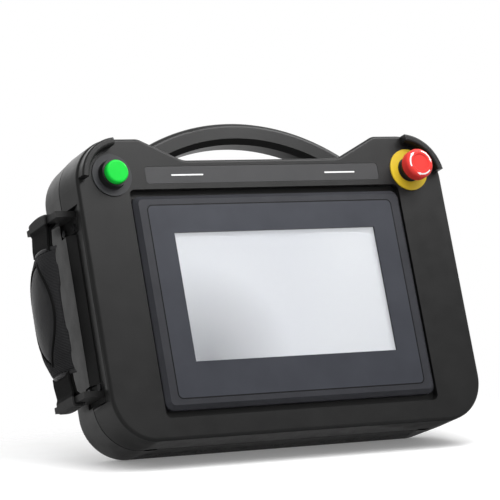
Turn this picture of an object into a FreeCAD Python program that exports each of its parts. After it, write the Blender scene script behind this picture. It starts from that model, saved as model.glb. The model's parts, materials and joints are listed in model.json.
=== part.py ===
import FreeCAD, Part
import os
import re

import Sketcher

# Handheld operator touch panel: a two-piece moulded case with a 7-inch touch display, a start button,
# a twist-release stop button, a carry handle and a padded hand strap. X is right, Y is to the rear, Z is up.
# The origin is on the base, just in front of the parting line. Lengths are in millimetres, angles in degrees.

sizes = {
    # case, seen from the front: margins round the display unit, and the shoulders at the top corners
    "caseMargin": 38.2,
    "baseMargin": 19.2,
    "middleRise": 24.7,
    "shoulderRise": 15.3,
    "shoulderWidth": 50.0,
    "slopeRun": 31.5,
    "baseCornerRadius": 30.0,
    "topCornerRadius": 31.0,
    "shoulderRadius": 10.0,
    "slopeFootRadius": 14.0,
    # case depth and walls
    "seamRear": 1.0,
    "coverDepth": 27.3,
    "rearDepth": 34.0,
    "rearDraft": 7.0,
    "rearEdgeRadius": 6.5,
    "faceEdgeRadius": 2.2,
    "wall": 3.0,
    "sealThickness": 0.8,
    "sealInset": 0.9,
    "sealWidth": 1.3,
    # raised guards round the two top corners
    "guardHeight": 7.5,
    "guardInset": 1.0,
    "guardThickness": 5.0,
    "guardStart": 8.0,
    "guardEnd": 84.0,
    "guardEdgeRadius": 1.5,
    # display unit
    "bezelWidth": 207.6,
    "bezelHeight": 144.6,
    "bezelProud": 2.0,
    "bezelCorner": 6.0,
    "bezelBevel": 3.0,
    "recessGapSide": 1.2,
    "recessGapEnd": 4.7,
    "recessDepth": 5.0,
    "recessCorner": 4.0,
    "ledgeThickness": 3.0,
    "ledgeMargin": 3.5,
    "ledgeCorner": 8.0,
    "openingInsetSide": 7.3,
    "openingInsetEnd": 2.8,
    "gasketThickness": 1.0,
    "gasketInset": 1.0,
    "filmInsetSide": 8.55,
    "filmInsetEnd": 6.65,
    "filmThickness": 0.5,
    "filmCorner": 4.0,
    "filmClearance": 0.1,
    "displayRise": 2.5,
    "displayInsetSide": 18.2,
    "displayInsetEnd": 22.7,
    "windowMargin": 0.8,
    "windowPlate": 1.1,
    "glassMargin": 7.0,
    "glassThickness": 1.5,
    "glassClearance": 0.1,
    "lcdThickness": 5.6,
    "lcdRecess": 0.4,
    "unitClearance": 1.5,
    "unitDepth": 27.0,
    "unitWall": 2.5,
    "boardThickness": 1.6,
    "boardSetback": 9.0,
    "boardMargin": 5.0,
    "standoffDiameter": 7.0,
    "standoffInset": 10.0,
    "ventCount": 9,
    "ventPitch": 8.0,
    "ventWidth": 2.4,
    "ventLength": 30.0,
    "clampInset": 26.5,
    "clampWidth": 14.0,
    "clampHeight": 7.0,
    "clampDepth": 12.0,
    "clampSetback": 2.5,
    "clampScrewDiameter": 3.6,
    "clampScrewLength": 18.0,
    "clampScrewLift": 4.2,
    "clampHeadDiameter": 6.0,
    "clampHeadHeight": 2.2,
    # label plate over the display
    "labelRise": 14.4,
    "labelInset": 14.0,
    "labelHeight": 12.0,
    "labelDepth": 0.6,
    "labelCorner": 2.5,
    "labelClearance": 0.15,
    # buttons
    "buttonInset": 26.0,
    "buttonRise": 14.7,
    "barrelDiameter": 16.0,
    "barrelClearance": 0.2,
    "startPlateDiameter": 28.6,
    "startPlateThickness": 0.8,
    "startCollarDiameter": 20.0,
    "startCollarTop": 18.6,
    "startCollarHeight": 5.8,
    "startBarrelLength": 20.0,
    "startCapDiameter": 15.8,
    "startCapHeight": 9.8,
    "startCapRound": 1.4,
    "startCapFit": 0.2,
    "startRecessFloor": 1.6,
    "startTravel": 3.0,
    "travelSpare": 0.4,
    "startStemDiameter": 6.0,
    "stemFit": 0.05,
    "startSpringBore": 12.4,
    "startGuideLength": 4.0,
    "stopPlateDiameter": 29.6,
    "stopPlateThickness": 1.0,
    "stopFlangeDiameter": 17.6,
    "stopFlangeThickness": 0.8,
    "stopNeckDiameter": 15.6,
    "stopNeckHeight": 8.5,
    "stopBarrelLength": 22.0,
    "stopHeadDiameter": 21.2,
    "stopHeadRim": 9.2,
    "stopHeadTop": 17.0,
    "stopHeadRound": 2.8,
    "stopHeadCavity": 16.8,
    "stopCavityDepth": 4.6,
    "stopDishDiameter": 13.0,
    "stopDishDepth": 0.6,
    "stopTravel": 4.0,
    "stopShaftDiameter": 8.0,
    "stopShaftGrip": 1.8,
    "stopShoulderDiameter": 11.6,
    "stopShoulderThickness": 2.0,
    "stopNeckGuide": 4.0,
    "stopSpringBore": 12.6,
    "stopGuideLength": 4.0,
    "springWire": 0.9,
    "springGap": 0.4,
    "springTurns": 6.0,
    "springSeatGap": 0.05,
    "shoulderGap": 0.1,
    "threadFit": 0.05,
    "nutAcross": 19.0,
    "nutThickness": 4.0,
    "blockWidth": 19.0,
    "blockDepth": 16.0,
    "blockTerminal": 3.5,
    "blockBoreSpare": 0.6,
    "stemReach": 2.0,
    # carry handle
    "handleRise": 36.5,
    "handleThickness": 15.0,
    "handleOuterRadius": 155.0,
    "handleInnerRadius": 138.0,
    "handleTuck": 5.0,
    "handleSink": 10.5,
    "handleCentre": 13.5,
    "handleDepth": 18.0,
    "handleEdgeRadius": 3.5,
    "handleBevel": 3.5,
    "handleClearance": 0.3,
    "handleScrewInset": 4.0,
    "handleScrewDrop": 1.5,
    # bosses and screws
    "bossInset": 20.0,
    "bossLow": 15.0,
    "bossDrop": 55.8,
    "bossDiameter": 9.0,
    "screwDiameter": 3.5,
    "screwFit": 0.05,
    "screwClearance": 0.4,
    "screwHeadDiameter": 7.0,
    "screwHeadHeight": 2.6,
    "screwSocket": 3.0,
    "screwSocketDepth": 1.6,
    "pilotSpare": 2.0,
    "tipSpare": 0.4,
    "counterboreFit": 0.3,
    "counterboreDepth": 5.5,
    "screwEngagement": 12.0,
    # grip on the left side
    "gripBottom": 29.0,
    "gripDrop": 42.8,
    "gripWall": 9.5,
    "gripWallInset": 5.0,
    "grooveFront": 4.0,
    "grooveDepth": 4.5,
    "grooveCrest": 5.0,
    # strap anchors, strap and pad
    "pocketEnd": 1.5,
    "pocketHeight": 14.0,
    "pocketFront": 13.0,
    "pocketRear": 9.5,
    "pocketDepth": 5.0,
    "anchorFit": 0.3,
    "anchorFlange": 2.6,
    "anchorProjection": 12.0,
    "anchorThickness": 4.0,
    "anchorLift": 4.0,
    "anchorBar": 4.0,
    "anchorSlot": 3.6,
    "anchorRail": 7.0,
    "anchorWallGap": 1.0,
    "strapCentre": 13.0,
    "webbingWidth": 24.0,
    "webbingThickness": 1.8,
    "webbingFit": 0.3,
    "webbingSpare": 0.5,
    "anchorScrewDiameter": 2.6,
    "anchorScrewHead": 4.6,
    "anchorScrewHeadHeight": 1.4,
    "anchorScrewLength": 6.0,
    "anchorScrewInset": 3.8,
    "anchorScrewLift": 3.2,
    "padOverhang": 12.3,
    "padGapTop": 18.6,
    "padGapLow": 21.5,
    "padWidth": 40.0,
    "padTaper": 2.2,
    "padTrim": 1.0,
    "padThickness": 8.0,
    "padBow": 5.8,
    "padCrown": 26.0,
    "padHollow": 30.0,
    "padCornerRadius": 5.0,
    "padEdgeRadius": 2.0,
    # cable entry on the right side
    "glandHeight": 46.0,
    "glandRear": 15.0,
    "glandBossDiameter": 26.0,
    "glandBossLength": 8.0,
    "glandThread": 16.0,
    "glandHex": 20.0,
    "glandHexHeight": 5.0,
    "glandCapDiameter": 19.0,
    "glandCapHeight": 9.0,
    "glandCapRound": 3.0,
    "glandBore": 8.0,
    "glandInside": 14.0,
    "glandNutThickness": 4.0,
    # notches for prying the halves apart, under the base
    "notchInset": 36.0,
    "notchWidth": 9.0,
    "notchDepth": 1.2,
    "notchReach": 2.2,
}

# places and outlines that follow from the sizes, worked out from the display unit outwards
places = {
    "half": "bezelWidth / 2 + caseMargin",
    "unitTop": "baseMargin + bezelHeight",
    "unitCentre": "baseMargin + bezelHeight / 2",
    "recessWidth": "bezelWidth + 2 * recessGapSide",
    "recessHeight": "bezelHeight + 2 * recessGapEnd",
    "openingWidth": "bezelWidth - 2 * openingInsetSide",
    "openingHeight": "bezelHeight - 2 * openingInsetEnd",
    "filmWidth": "bezelWidth - 2 * filmInsetSide",
    "filmHeight": "bezelHeight - 2 * filmInsetEnd",
    "displayWidth": "filmWidth - 2 * displayInsetSide",
    "displayHeight": "filmHeight - 2 * displayInsetEnd",
    "displayCentre": "unitCentre + displayRise",
    "clampX": "openingWidth / 2 - clampInset",
    "middleTop": "unitTop + middleRise",
    "shoulderTop": "middleTop + shoulderRise",
    "shoulderEdge": "half - shoulderWidth",
    "slopeFoot": "shoulderEdge - slopeRun",
    "labelCentre": "unitTop + labelRise",
    "labelWidth": "recessWidth - 2 * labelInset",
    "buttonOffset": "half - buttonInset",
    "buttonHeight": "unitTop + buttonRise",
    "handleTop": "middleTop + handleRise",
    "handleInnerTop": "handleTop - handleThickness",
    "handleFront": "handleCentre - handleDepth / 2",
    "handleBack": "handleCentre + handleDepth / 2",
    "handleReach": "shoulderEdge + handleTuck",
    "handleFoot": "middleTop - handleSink",
    "handleScrewX": "shoulderEdge - handleScrewInset",
    "handleScrewZ": "middleTop - handleScrewDrop",
    "bossX": "half - bossInset",
    "bossHigh": "shoulderTop - bossDrop",
    "bossMiddle": "(bossLow + bossHigh) / 2",
    "gripTop": "shoulderTop - gripDrop",
    "anchorReach": "half + anchorProjection",
    "padOuter": "anchorReach + padOverhang",
    "padTop": "gripTop - padGapTop",
    "padBottom": "gripBottom + padGapLow",
    "padRise": "(padTop - padBottom) / 2",
    "padMiddle": "(padTop + padBottom) / 2",
    "padBowRadius": "(padRise^2 + padBow^2) / (2 * padBow)",
    "padTaperRadius": "(padRise^2 + padTaper^2) / (2 * padTaper)",
    "notchX": "half - notchInset",
    "coverRim": "seamRear - sealThickness / 2",
    "shellRim": "seamRear + sealThickness / 2",
    "shellBack": "shellRim + rearDepth",
    "faceFront": "coverDepth - coverRim",
}

doc = FreeCAD.newDocument("OperatorPanel")
sheet = doc.addObject("Spreadsheet::Sheet", "Sizes")
for row, (alias, number) in enumerate(sizes.items(), 1):
    sheet.set(f"A{row}", alias)
    sheet.set(f"B{row}", str(number))
    sheet.setAlias(f"B{row}", alias)
doc.recompute()

pieces = []


def spelled(expression):
    """Writes out every place named in the expression, until only sizes are left."""
    return re.sub(r"[A-Za-z]\w*",
                  lambda word: f"({spelled(places[word[0]])})" if word[0] in places else word[0], expression)


def bound(expression):
    """Points every size named in the expression at its spreadsheet cell."""
    return re.sub(r"[A-Za-z]\w*",
                  lambda word: f"Sizes.{word[0]}" if word[0] in sizes else word[0], spelled(expression))


def value(expression):
    """Works an expression of named sizes and places out as a number."""
    return float(sheet.evalExpression(spelled(expression)))


def new_body(label, x="0", y="0", z="0", group=False):
    """Body of one piece, or of a group of identical pieces."""
    body = doc.addObject("PartDesign::Body", label)
    body.Label = label
    body.AllowCompound = group
    for axis, expression in (("x", x), ("y", y), ("z", z)):
        body.setExpression(f"Placement.Base.{axis}", bound(expression))
    pieces.append(body)
    return body


def new_sketch(body, role, lift="0"):
    """Sketch on a plane of the body's origin, lifted along the plane's normal: -Y on XZ, +X on YZ, +Z on XY."""
    plane = next(item for item in body.Origin.OriginFeatures if item.Role == role)
    sketch = body.newObject("Sketcher::SketchObject", f"{body.Label}_sketch")
    sketch.AttachmentSupport = [(plane, "")]
    sketch.MapMode = "FlatFace"
    sketch.setExpression("AttachmentOffset.Base.z", bound(lift))
    return sketch


def drive(sketch, index, expression):
    sketch.setExpression(f"Constraints[{index}]", bound(expression))


def hold(sketch, line, vertex, kind, axis, expression):
    """Fixes one coordinate of a point of the sketch."""
    amount = value(expression)
    if abs(amount) < 1e-9:
        sketch.addConstraint(Sketcher.Constraint("PointOnObject", line, vertex, axis))
    elif amount > 0:
        made = sketch.addConstraint(Sketcher.Constraint(kind, -1, 1, line, vertex, amount))
        drive(sketch, made, expression)
    else:
        made = sketch.addConstraint(Sketcher.Constraint(kind, line, vertex, -1, 1, -amount))
        drive(sketch, made, f"-({expression})")


def pin(sketch, line, vertex, x, y):
    """Fixes a point of the sketch at x, y from its origin."""
    hold(sketch, line, vertex, "DistanceX", -2, x)
    hold(sketch, line, vertex, "DistanceY", -1, y)


def polygon(sketch, corners):
    """Closed outline of straight lines through corners, each an (x, y) pair of expressions."""
    points = [FreeCAD.Vector(value(x), value(y), 0) for x, y in corners]
    first = sketch.GeometryCount
    count = len(points)
    for index, point in enumerate(points):
        sketch.addGeometry(Part.LineSegment(point, points[(index + 1) % count]), False)
    for index in range(count):
        following = first + (index + 1) % count
        sketch.addConstraint(Sketcher.Constraint("Coincident", first + index, 2, following, 1))
    for index, (x, y) in enumerate(corners):
        pin(sketch, first + index, 1, x, y)
    return sketch


def rectangle(sketch, left, right, low, high):
    return polygon(sketch, [(left, low), (right, low), (right, high), (left, high)])


def centred(sketch, width, height, middle="0"):
    """Rectangle centred on the sketch's upright axis, at a middle height."""
    low, high = f"{middle} - ({height}) / 2", f"{middle} + ({height}) / 2"
    return rectangle(sketch, f"-({width}) / 2", f"({width}) / 2", low, high)


def circle(sketch, diameter, x="0", y="0"):
    centre = FreeCAD.Vector(value(x), value(y), 0)
    radius = value(diameter) / 2
    line = sketch.addGeometry(Part.Circle(centre, FreeCAD.Vector(0, 0, 1), radius), False)
    drive(sketch, sketch.addConstraint(Sketcher.Constraint("Radius", line, radius)), f"({diameter}) / 2")
    pin(sketch, line, 3, x, y)
    return sketch


def hexagon(sketch, across, x="0", y="0"):
    side = f"({across}) / sqrt(3)"
    flat = f"({across}) / 2"
    steps = [(side, "0"), (f"{side} / 2", flat), (f"-{side} / 2", flat)]
    steps += [(f"-{side}", "0"), (f"-{side} / 2", f"-{flat}"), (f"{side} / 2", f"-{flat}")]
    return polygon(sketch, [(f"{x} + {dx}", f"{y} + {dy}") for dx, dy in steps])


def arc(sketch, x, y, radius, start, end):
    """Arc about x, y from start to end, both points as numbers, going anticlockwise."""
    centre = FreeCAD.Vector(value(x), value(y), 0)
    spokes = [(FreeCAD.Vector(*point, 0) - centre) for point in (start, end)]
    angles = [FreeCAD.Vector(1, 0, 0).getAngle(spoke) * (1 if spoke.y >= 0 else -1) for spoke in spokes]
    round_line = Part.Circle(centre, FreeCAD.Vector(0, 0, 1), value(radius))
    line = sketch.addGeometry(Part.ArcOfCircle(round_line, angles[0], angles[1]), False)
    drive(sketch, sketch.addConstraint(Sketcher.Constraint("Radius", line, value(radius))), radius)
    pin(sketch, line, 3, x, y)
    return line


def joined(sketch, pairs):
    for first, first_end, second, second_end in pairs:
        sketch.addConstraint(Sketcher.Constraint("Coincident", first, first_end, second, second_end))


def line_between(sketch, start, end):
    return sketch.addGeometry(Part.LineSegment(FreeCAD.Vector(*start, 0), FreeCAD.Vector(*end, 0)), False)


def arched(sketch, sides, reach):
    """Outline between two arcs with level ends, as far up as down; each side is a centre's x, a radius and a sign."""
    arcs, ends = [], []
    for x, radius, sign in sides:
        level = value(reach)
        points = [(value(f"{x} {sign} sqrt(({radius})^2 - ({reach})^2)"), height) for height in (-level, level)]
        arcs.append(arc(sketch, x, "0", radius, *(points if sign == "+" else reversed(points))))
        ends.append(points)
    for place, height in enumerate((f"-({reach})", reach)):
        line = line_between(sketch, ends[0][place], ends[1][place])
        meets = [1 + place if sign == "+" else 2 - place for _, _, sign in sides]
        joined(sketch, [(line, 1, arcs[0], meets[0]), (line, 2, arcs[1], meets[1])])
        hold(sketch, line, 1, "DistanceY", -1, height)
        sketch.addConstraint(Sketcher.Constraint("Horizontal", line))
    return sketch


def settled(body, feature, adds):
    """Recomputes and makes sure that the feature added or took material, as it should."""
    doc.recompute()
    volume = feature.Shape.Volume
    base = feature.BaseFeature
    before = base.Shape.Volume if base else 0.0
    if (volume - before) * (1 if adds else -1) < 1e-6:
        raise RuntimeError(f"{feature.Name} of {body.Label} changed nothing")
    return feature


def pad(body, sketch, length, reverse=False, both=False):
    feature = body.newObject("PartDesign::Pad", f"{body.Label}_pad")
    feature.Profile = sketch
    feature.setExpression("Length", bound(length))
    feature.Reversed = reverse
    if both:
        feature.SideType = "Symmetric"
    return settled(body, feature, True)


def pocket(body, sketch, length=None, reverse=False, both=False):
    """Cuts against the sketch's normal, or along it when reversed; all the way through when no length is given."""
    feature = body.newObject("PartDesign::Pocket", f"{body.Label}_pocket")
    feature.Profile = sketch
    feature.Reversed = reverse
    if both:
        feature.SideType = "Symmetric"
    if length is None:
        feature.Type = "ThroughAll"
    else:
        feature.setExpression("Length", bound(length))
    return settled(body, feature, False)


def turned(body, corners):
    """Revolves a profile about the piece's own Y axis: corners are (y, radius) pairs."""
    sketch = polygon(new_sketch(body, "YZ_Plane"), corners)
    feature = body.newObject("PartDesign::Revolution", f"{body.Label}_turned")
    feature.Profile = sketch
    feature.ReferenceAxis = (sketch, ["H_Axis"])
    feature.Angle = 360.0
    return settled(body, feature, True)


def edges(feature, test):
    names = [f"Edge{index}" for index, edge in enumerate(feature.Shape.Edges, 1) if test(edge)]
    if not names:
        raise RuntimeError(f"no edge of {feature.Name} passes the test")
    return names


def rounded(body, feature, test, radius):
    fillet = body.newObject("PartDesign::Fillet", f"{body.Label}_fillet")
    fillet.Base = (feature, edges(feature, test))
    fillet.setExpression("Radius", bound(radius))
    doc.recompute()
    return fillet


def bevelled(body, feature, test, width):
    chamfer = body.newObject("PartDesign::Chamfer", f"{body.Label}_chamfer")
    chamfer.Base = (feature, edges(feature, test))
    chamfer.setExpression("Size", bound(width))
    doc.recompute()
    return chamfer


def hollowed(body, feature, open_face, thickness):
    """Shells the solid inwards, open at the face whose centre passes the test."""
    faces = [f"Face{index}" for index, face in enumerate(feature.Shape.Faces, 1) if open_face(face)]
    shell = body.newObject("PartDesign::Thickness", f"{body.Label}_shell")
    shell.Base = (feature, faces)
    shell.setExpression("Value", bound(thickness))
    shell.Reversed = True
    shell.Join = "Intersection"
    return settled(body, shell, False)


def upright_at(x, z, slack=0.6):
    """Test for an edge that runs front to back past the point x, z, allowing for the draft of the rear shell."""
    def test(edge):
        ends = [vertex.Point for vertex in edge.Vertexes]
        if len(ends) != 2 or abs(ends[0].y - ends[1].y) < 0.3:
            return False
        near = min(ends, key=lambda point: abs(point.y))
        return abs(near.x - x) < slack and abs(near.z - z) < slack
    return test


def corners_of(width, height, middle="0"):
    """Test for the four front-to-back edges of a rectangle centred at a middle height."""
    x = value(width) / 2
    lows = [value(f"{middle} - ({height}) / 2"), value(f"{middle} + ({height}) / 2")]
    tests = [upright_at(sign * x, z, 0.01) for sign in (-1, 1) for z in lows]
    return lambda edge: any(test(edge) for test in tests)


def round_of(radius):
    """Test for a round edge of the given radius."""
    return lambda edge: edge.Curve.TypeId == "Part::GeomCircle" and abs(edge.Curve.Radius - radius) < 1e-4


def rim_at(y):
    """Test for an edge that lies in the plane at y."""
    return lambda edge: abs(edge.BoundBox.YMin - y) < 1e-4 and abs(edge.BoundBox.YMax - y) < 1e-4


slopeShift = "tan(atan((shoulderTop - middleTop) / (shoulderEdge - slopeFoot)) / 2)"


def case_outline(sketch, side="0", top="0", low="0"):
    """Case outline with its sides, top and base drawn in by the given amounts."""
    shift = f"({top}) * {slopeShift}"
    right = [
        (f"half - ({side})", low),
        (f"half - ({side})", f"shoulderTop - ({top})"),
        (f"shoulderEdge + {shift}", f"shoulderTop - ({top})"),
        (f"slopeFoot + {shift}", f"middleTop - ({top})"),
    ]
    left = [(f"-({x})", z) for x, z in reversed(right)]
    return polygon(sketch, right + left)


def soften_outline(body, feature, inset="0"):
    """Rounds the eight corners of a case outline, drawn in by an inset."""
    shift = f"({inset}) * {slopeShift}"
    corners = [
        (f"half - ({inset})", inset, f"baseCornerRadius - ({inset})"),
        (f"half - ({inset})", f"shoulderTop - ({inset})", f"topCornerRadius - ({inset})"),
        (f"shoulderEdge + {shift}", f"shoulderTop - ({inset})", f"shoulderRadius - ({inset})"),
        (f"slopeFoot + {shift}", f"middleTop - ({inset})", f"slopeFootRadius + ({inset})"),
    ]
    for x, z, radius in corners:
        left = upright_at(-value(x), value(z))
        right = upright_at(value(x), value(z))
        feature = rounded(body, feature, lambda edge: left(edge) or right(edge), radius)
    return feature


boss_places = [(f"{sign}bossX", height) for height in ("bossLow", "bossMiddle", "bossHigh") for sign in ("-", "")]
handle_places = [("-handleScrewX", "handleScrewZ"), ("handleScrewX", "handleScrewZ")]
guardCentreX = "(half - topCornerRadius)"
guardCentreZ = "(shoulderTop - topCornerRadius)"


def guard_sector(sketch, sign):
    """Ring sector round one top corner of the face."""
    centre_x = f"{sign} * {guardCentreX}"
    outer = "topCornerRadius - guardInset"
    inner = "topCornerRadius - guardInset - guardThickness"
    centre = FreeCAD.Vector(value(centre_x), value(guardCentreZ), 0)
    spread = [value("guardStart"), value("guardEnd")]
    if sign < 0:
        spread = [180 - spread[1], 180 - spread[0]]
    turn = [FreeCAD.Rotation(FreeCAD.Vector(0, 0, 1), angle) for angle in spread]
    spokes = [rotation.multVec(FreeCAD.Vector(1, 0, 0)) for rotation in turn]
    points = {name: [tuple(centre + spoke * value(name))[:2] for spoke in spokes] for name in (outer, inner)}
    outside = arc(sketch, centre_x, guardCentreZ, outer, *points[outer])
    inside = arc(sketch, centre_x, guardCentreZ, inner, *points[inner])
    first = line_between(sketch, points[inner][0], points[outer][0])
    last = line_between(sketch, points[inner][1], points[outer][1])
    joined(sketch, [(first, 1, inside, 1), (first, 2, outside, 1), (last, 1, inside, 2), (last, 2, outside, 2)])
    angles = ["guardStart", "guardEnd"] if sign > 0 else ["180 - guardEnd", "180 - guardStart"]
    for line, expression in zip((first, last), angles):
        sketch.addConstraint(Sketcher.Constraint("PointOnObject", outside, 3, line))
        amount = FreeCAD.Units.Quantity(value(expression), FreeCAD.Units.Angle)
        drive(sketch, sketch.addConstraint(Sketcher.Constraint("Angle", line, amount)), f"({expression}) * 1 deg")
    return sketch


# heights of the two anchor pockets, and of the shelf and screws of the anchor in each
pocketLow = "(gripBottom + pocketEnd)"
pocketHigh = "(gripTop - pocketEnd - pocketHeight)"
anchors = {
    "strap_anchor_lower": (pocketLow, f"{pocketLow} + anchorLift", f"{pocketLow} + pocketHeight - anchorScrewLift"),
    "strap_anchor_upper": (pocketHigh, f"{pocketHigh} + pocketHeight - anchorFit - anchorThickness",
                           f"{pocketHigh} + anchorScrewLift"),
}
screwFront = "-(pocketFront - anchorScrewInset)"
screwRear = "(pocketRear - anchorScrewInset)"


def side_pockets(body, screw_at=None):
    """Two pockets in the left wall that the strap anchors sit in, each with a pilot hole for an anchor screw."""
    sketch = new_sketch(body, "YZ_Plane", "-half")
    for low, _, _ in anchors.values():
        rectangle(sketch, "-pocketFront", "pocketRear", low, f"{low} + pocketHeight")
    feature = pocket(body, sketch, "pocketDepth", reverse=True)
    if screw_at is None:
        return feature
    pilots = new_sketch(body, "YZ_Plane", "-half + pocketDepth")
    for _, _, height in anchors.values():
        circle(pilots, "anchorScrewDiameter + 2 * screwFit", screw_at, height)
    return pocket(body, pilots, "anchorScrewLength - anchorFlange", reverse=True)


def pry_notches(body):
    sketch = new_sketch(body, "XY_Plane")
    for sign in ("-", ""):
        rectangle(sketch, f"{sign}notchX - notchWidth / 2", f"{sign}notchX + notchWidth / 2",
                  "seamRear - notchReach", "seamRear + notchReach")
    return pocket(body, sketch, "notchDepth", reverse=True)


def handle_profile(sketch, grow="0"):
    """Arched handle seen from the front, grown by a clearance."""
    outer_r = f"handleOuterRadius + ({grow})"
    inner_r = f"handleInnerRadius - ({grow})"
    outer_z = "handleTop - handleOuterRadius"
    inner_z = "handleInnerTop - handleInnerRadius"
    reach = f"handleReach + ({grow})"
    foot = f"handleFoot - ({grow})"
    corner_z = value(outer_z) + (value(outer_r) ** 2 - value(reach) ** 2) ** 0.5
    inner_x = (value(inner_r) ** 2 - (value(foot) - value(inner_z)) ** 2) ** 0.5
    wide, low = value(reach), value(foot)
    outside = arc(sketch, "0", outer_z, outer_r, (wide, corner_z), (-wide, corner_z))
    inside = arc(sketch, "0", inner_z, inner_r, (inner_x, low), (-inner_x, low))
    ends = []
    for sign, end in ((1, 1), (-1, 2)):
        side = line_between(sketch, (sign * wide, corner_z), (sign * wide, low))
        foot_line = line_between(sketch, (sign * wide, low), (sign * inner_x, low))
        ends += [(side, 1, outside, end), (side, 2, foot_line, 1), (foot_line, 2, inside, end)]
        sketch.addConstraint(Sketcher.Constraint("Horizontal", foot_line))
    joined(sketch, ends)
    for sign, (side, _, foot_line, _) in zip(("", "-"), (ends[1], ends[4])):
        pin(sketch, foot_line, 1, f"{sign}({reach})", foot)
        sketch.addConstraint(Sketcher.Constraint("Vertical", side))
    return sketch


def make_front_cover():
    body = new_body("front_cover")
    feature = pad(body, case_outline(new_sketch(body, "XZ_Plane", "-coverRim")), "coverDepth")
    feature = soften_outline(body, feature)
    seam = value("coverRim")
    feature = hollowed(body, feature, lambda face: abs(face.CenterOfMass.y - seam) < 1e-4, "wall")
    rounded(body, feature, rim_at(-value("faceFront")), "faceEdgeRadius")
    # thick wall behind the grip, and a ledge that the display unit sits on
    wall_sketch = new_sketch(body, "XZ_Plane", "-coverRim")
    rectangle(wall_sketch, "-half + wall / 2", "-half + gripWall", "gripBottom - wall", "gripTop + wall")
    pad(body, wall_sketch, "coverDepth - wall / 2")
    ledge = new_sketch(body, "XZ_Plane", "faceFront - recessDepth - ledgeThickness")
    ledge_size = ("recessWidth + 2 * ledgeMargin", "recessHeight + 2 * ledgeMargin", "unitCentre")
    feature = pad(body, centred(ledge, *ledge_size), "recessDepth + ledgeThickness - wall / 2")
    rounded(body, feature, corners_of(*ledge_size), "ledgeCorner")
    # guards, bosses and handle posts
    guards = new_sketch(body, "XZ_Plane", "faceFront - wall / 2")
    guard_sector(guards, 1)
    guard_sector(guards, -1)
    feature = pad(body, guards, "guardHeight + wall / 2")
    on_crest = rim_at(-value("faceFront + guardHeight"))
    rounded(body, feature, lambda edge: on_crest(edge) and edge.Curve.TypeId == "Part::GeomCircle", "guardEdgeRadius")
    bosses = new_sketch(body, "XZ_Plane", "-coverRim")
    for x, z in boss_places:
        circle(bosses, "bossDiameter", x, z)
    pad(body, bosses, "coverDepth - wall / 2")
    posts = new_sketch(body, "XZ_Plane", "-handleFront + handleClearance")
    for x, z in handle_places:
        circle(posts, "bossDiameter", x, z)
    pad(body, posts, "faceFront - wall / 2 + handleFront - handleClearance")
    # openings in the face
    recess = new_sketch(body, "XZ_Plane", "faceFront")
    feature = pocket(body, centred(recess, "recessWidth", "recessHeight", "unitCentre"), "recessDepth")
    rounded(body, feature, corners_of("recessWidth", "recessHeight", "unitCentre"), "recessCorner")
    opening = new_sketch(body, "XZ_Plane", "faceFront - recessDepth")
    pocket(body, centred(opening, "openingWidth", "openingHeight", "unitCentre"), "ledgeThickness")
    label = new_sketch(body, "XZ_Plane", "faceFront")
    feature = pocket(body, centred(label, "labelWidth", "labelHeight", "labelCentre"), "labelDepth")
    rounded(body, feature, corners_of("labelWidth", "labelHeight", "labelCentre"), "labelCorner")
    holes = new_sketch(body, "XZ_Plane", "faceFront")
    for sign in ("-", ""):
        circle(holes, "barrelDiameter + 2 * barrelClearance", f"{sign}buttonOffset", "buttonHeight")
    pocket(body, holes, "wall")
    pilots = new_sketch(body, "XZ_Plane", "-coverRim")
    for x, z in boss_places:
        circle(pilots, "screwDiameter + 2 * screwFit", x, z)
    pocket(body, pilots, "screwEngagement + pilotSpare", reverse=True)
    pilots = new_sketch(body, "XZ_Plane", "-handleFront")
    for x, z in handle_places:
        circle(pilots, "screwDiameter + 2 * screwFit", x, z)
    pocket(body, pilots, "screwEngagement", reverse=True)
    # finger groove and anchor pockets
    groove = new_sketch(body, "XY_Plane", "gripBottom")
    wall_x = "-half"
    polygon(groove, [
        (wall_x, "-(faceFront - grooveFront)"),
        (f"{wall_x} + grooveDepth", "-grooveCrest"),
        (wall_x, "coverRim"),
    ])
    pocket(body, groove, "gripTop - gripBottom", reverse=True)
    side_pockets(body, screwFront)
    return pry_notches(body)


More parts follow.
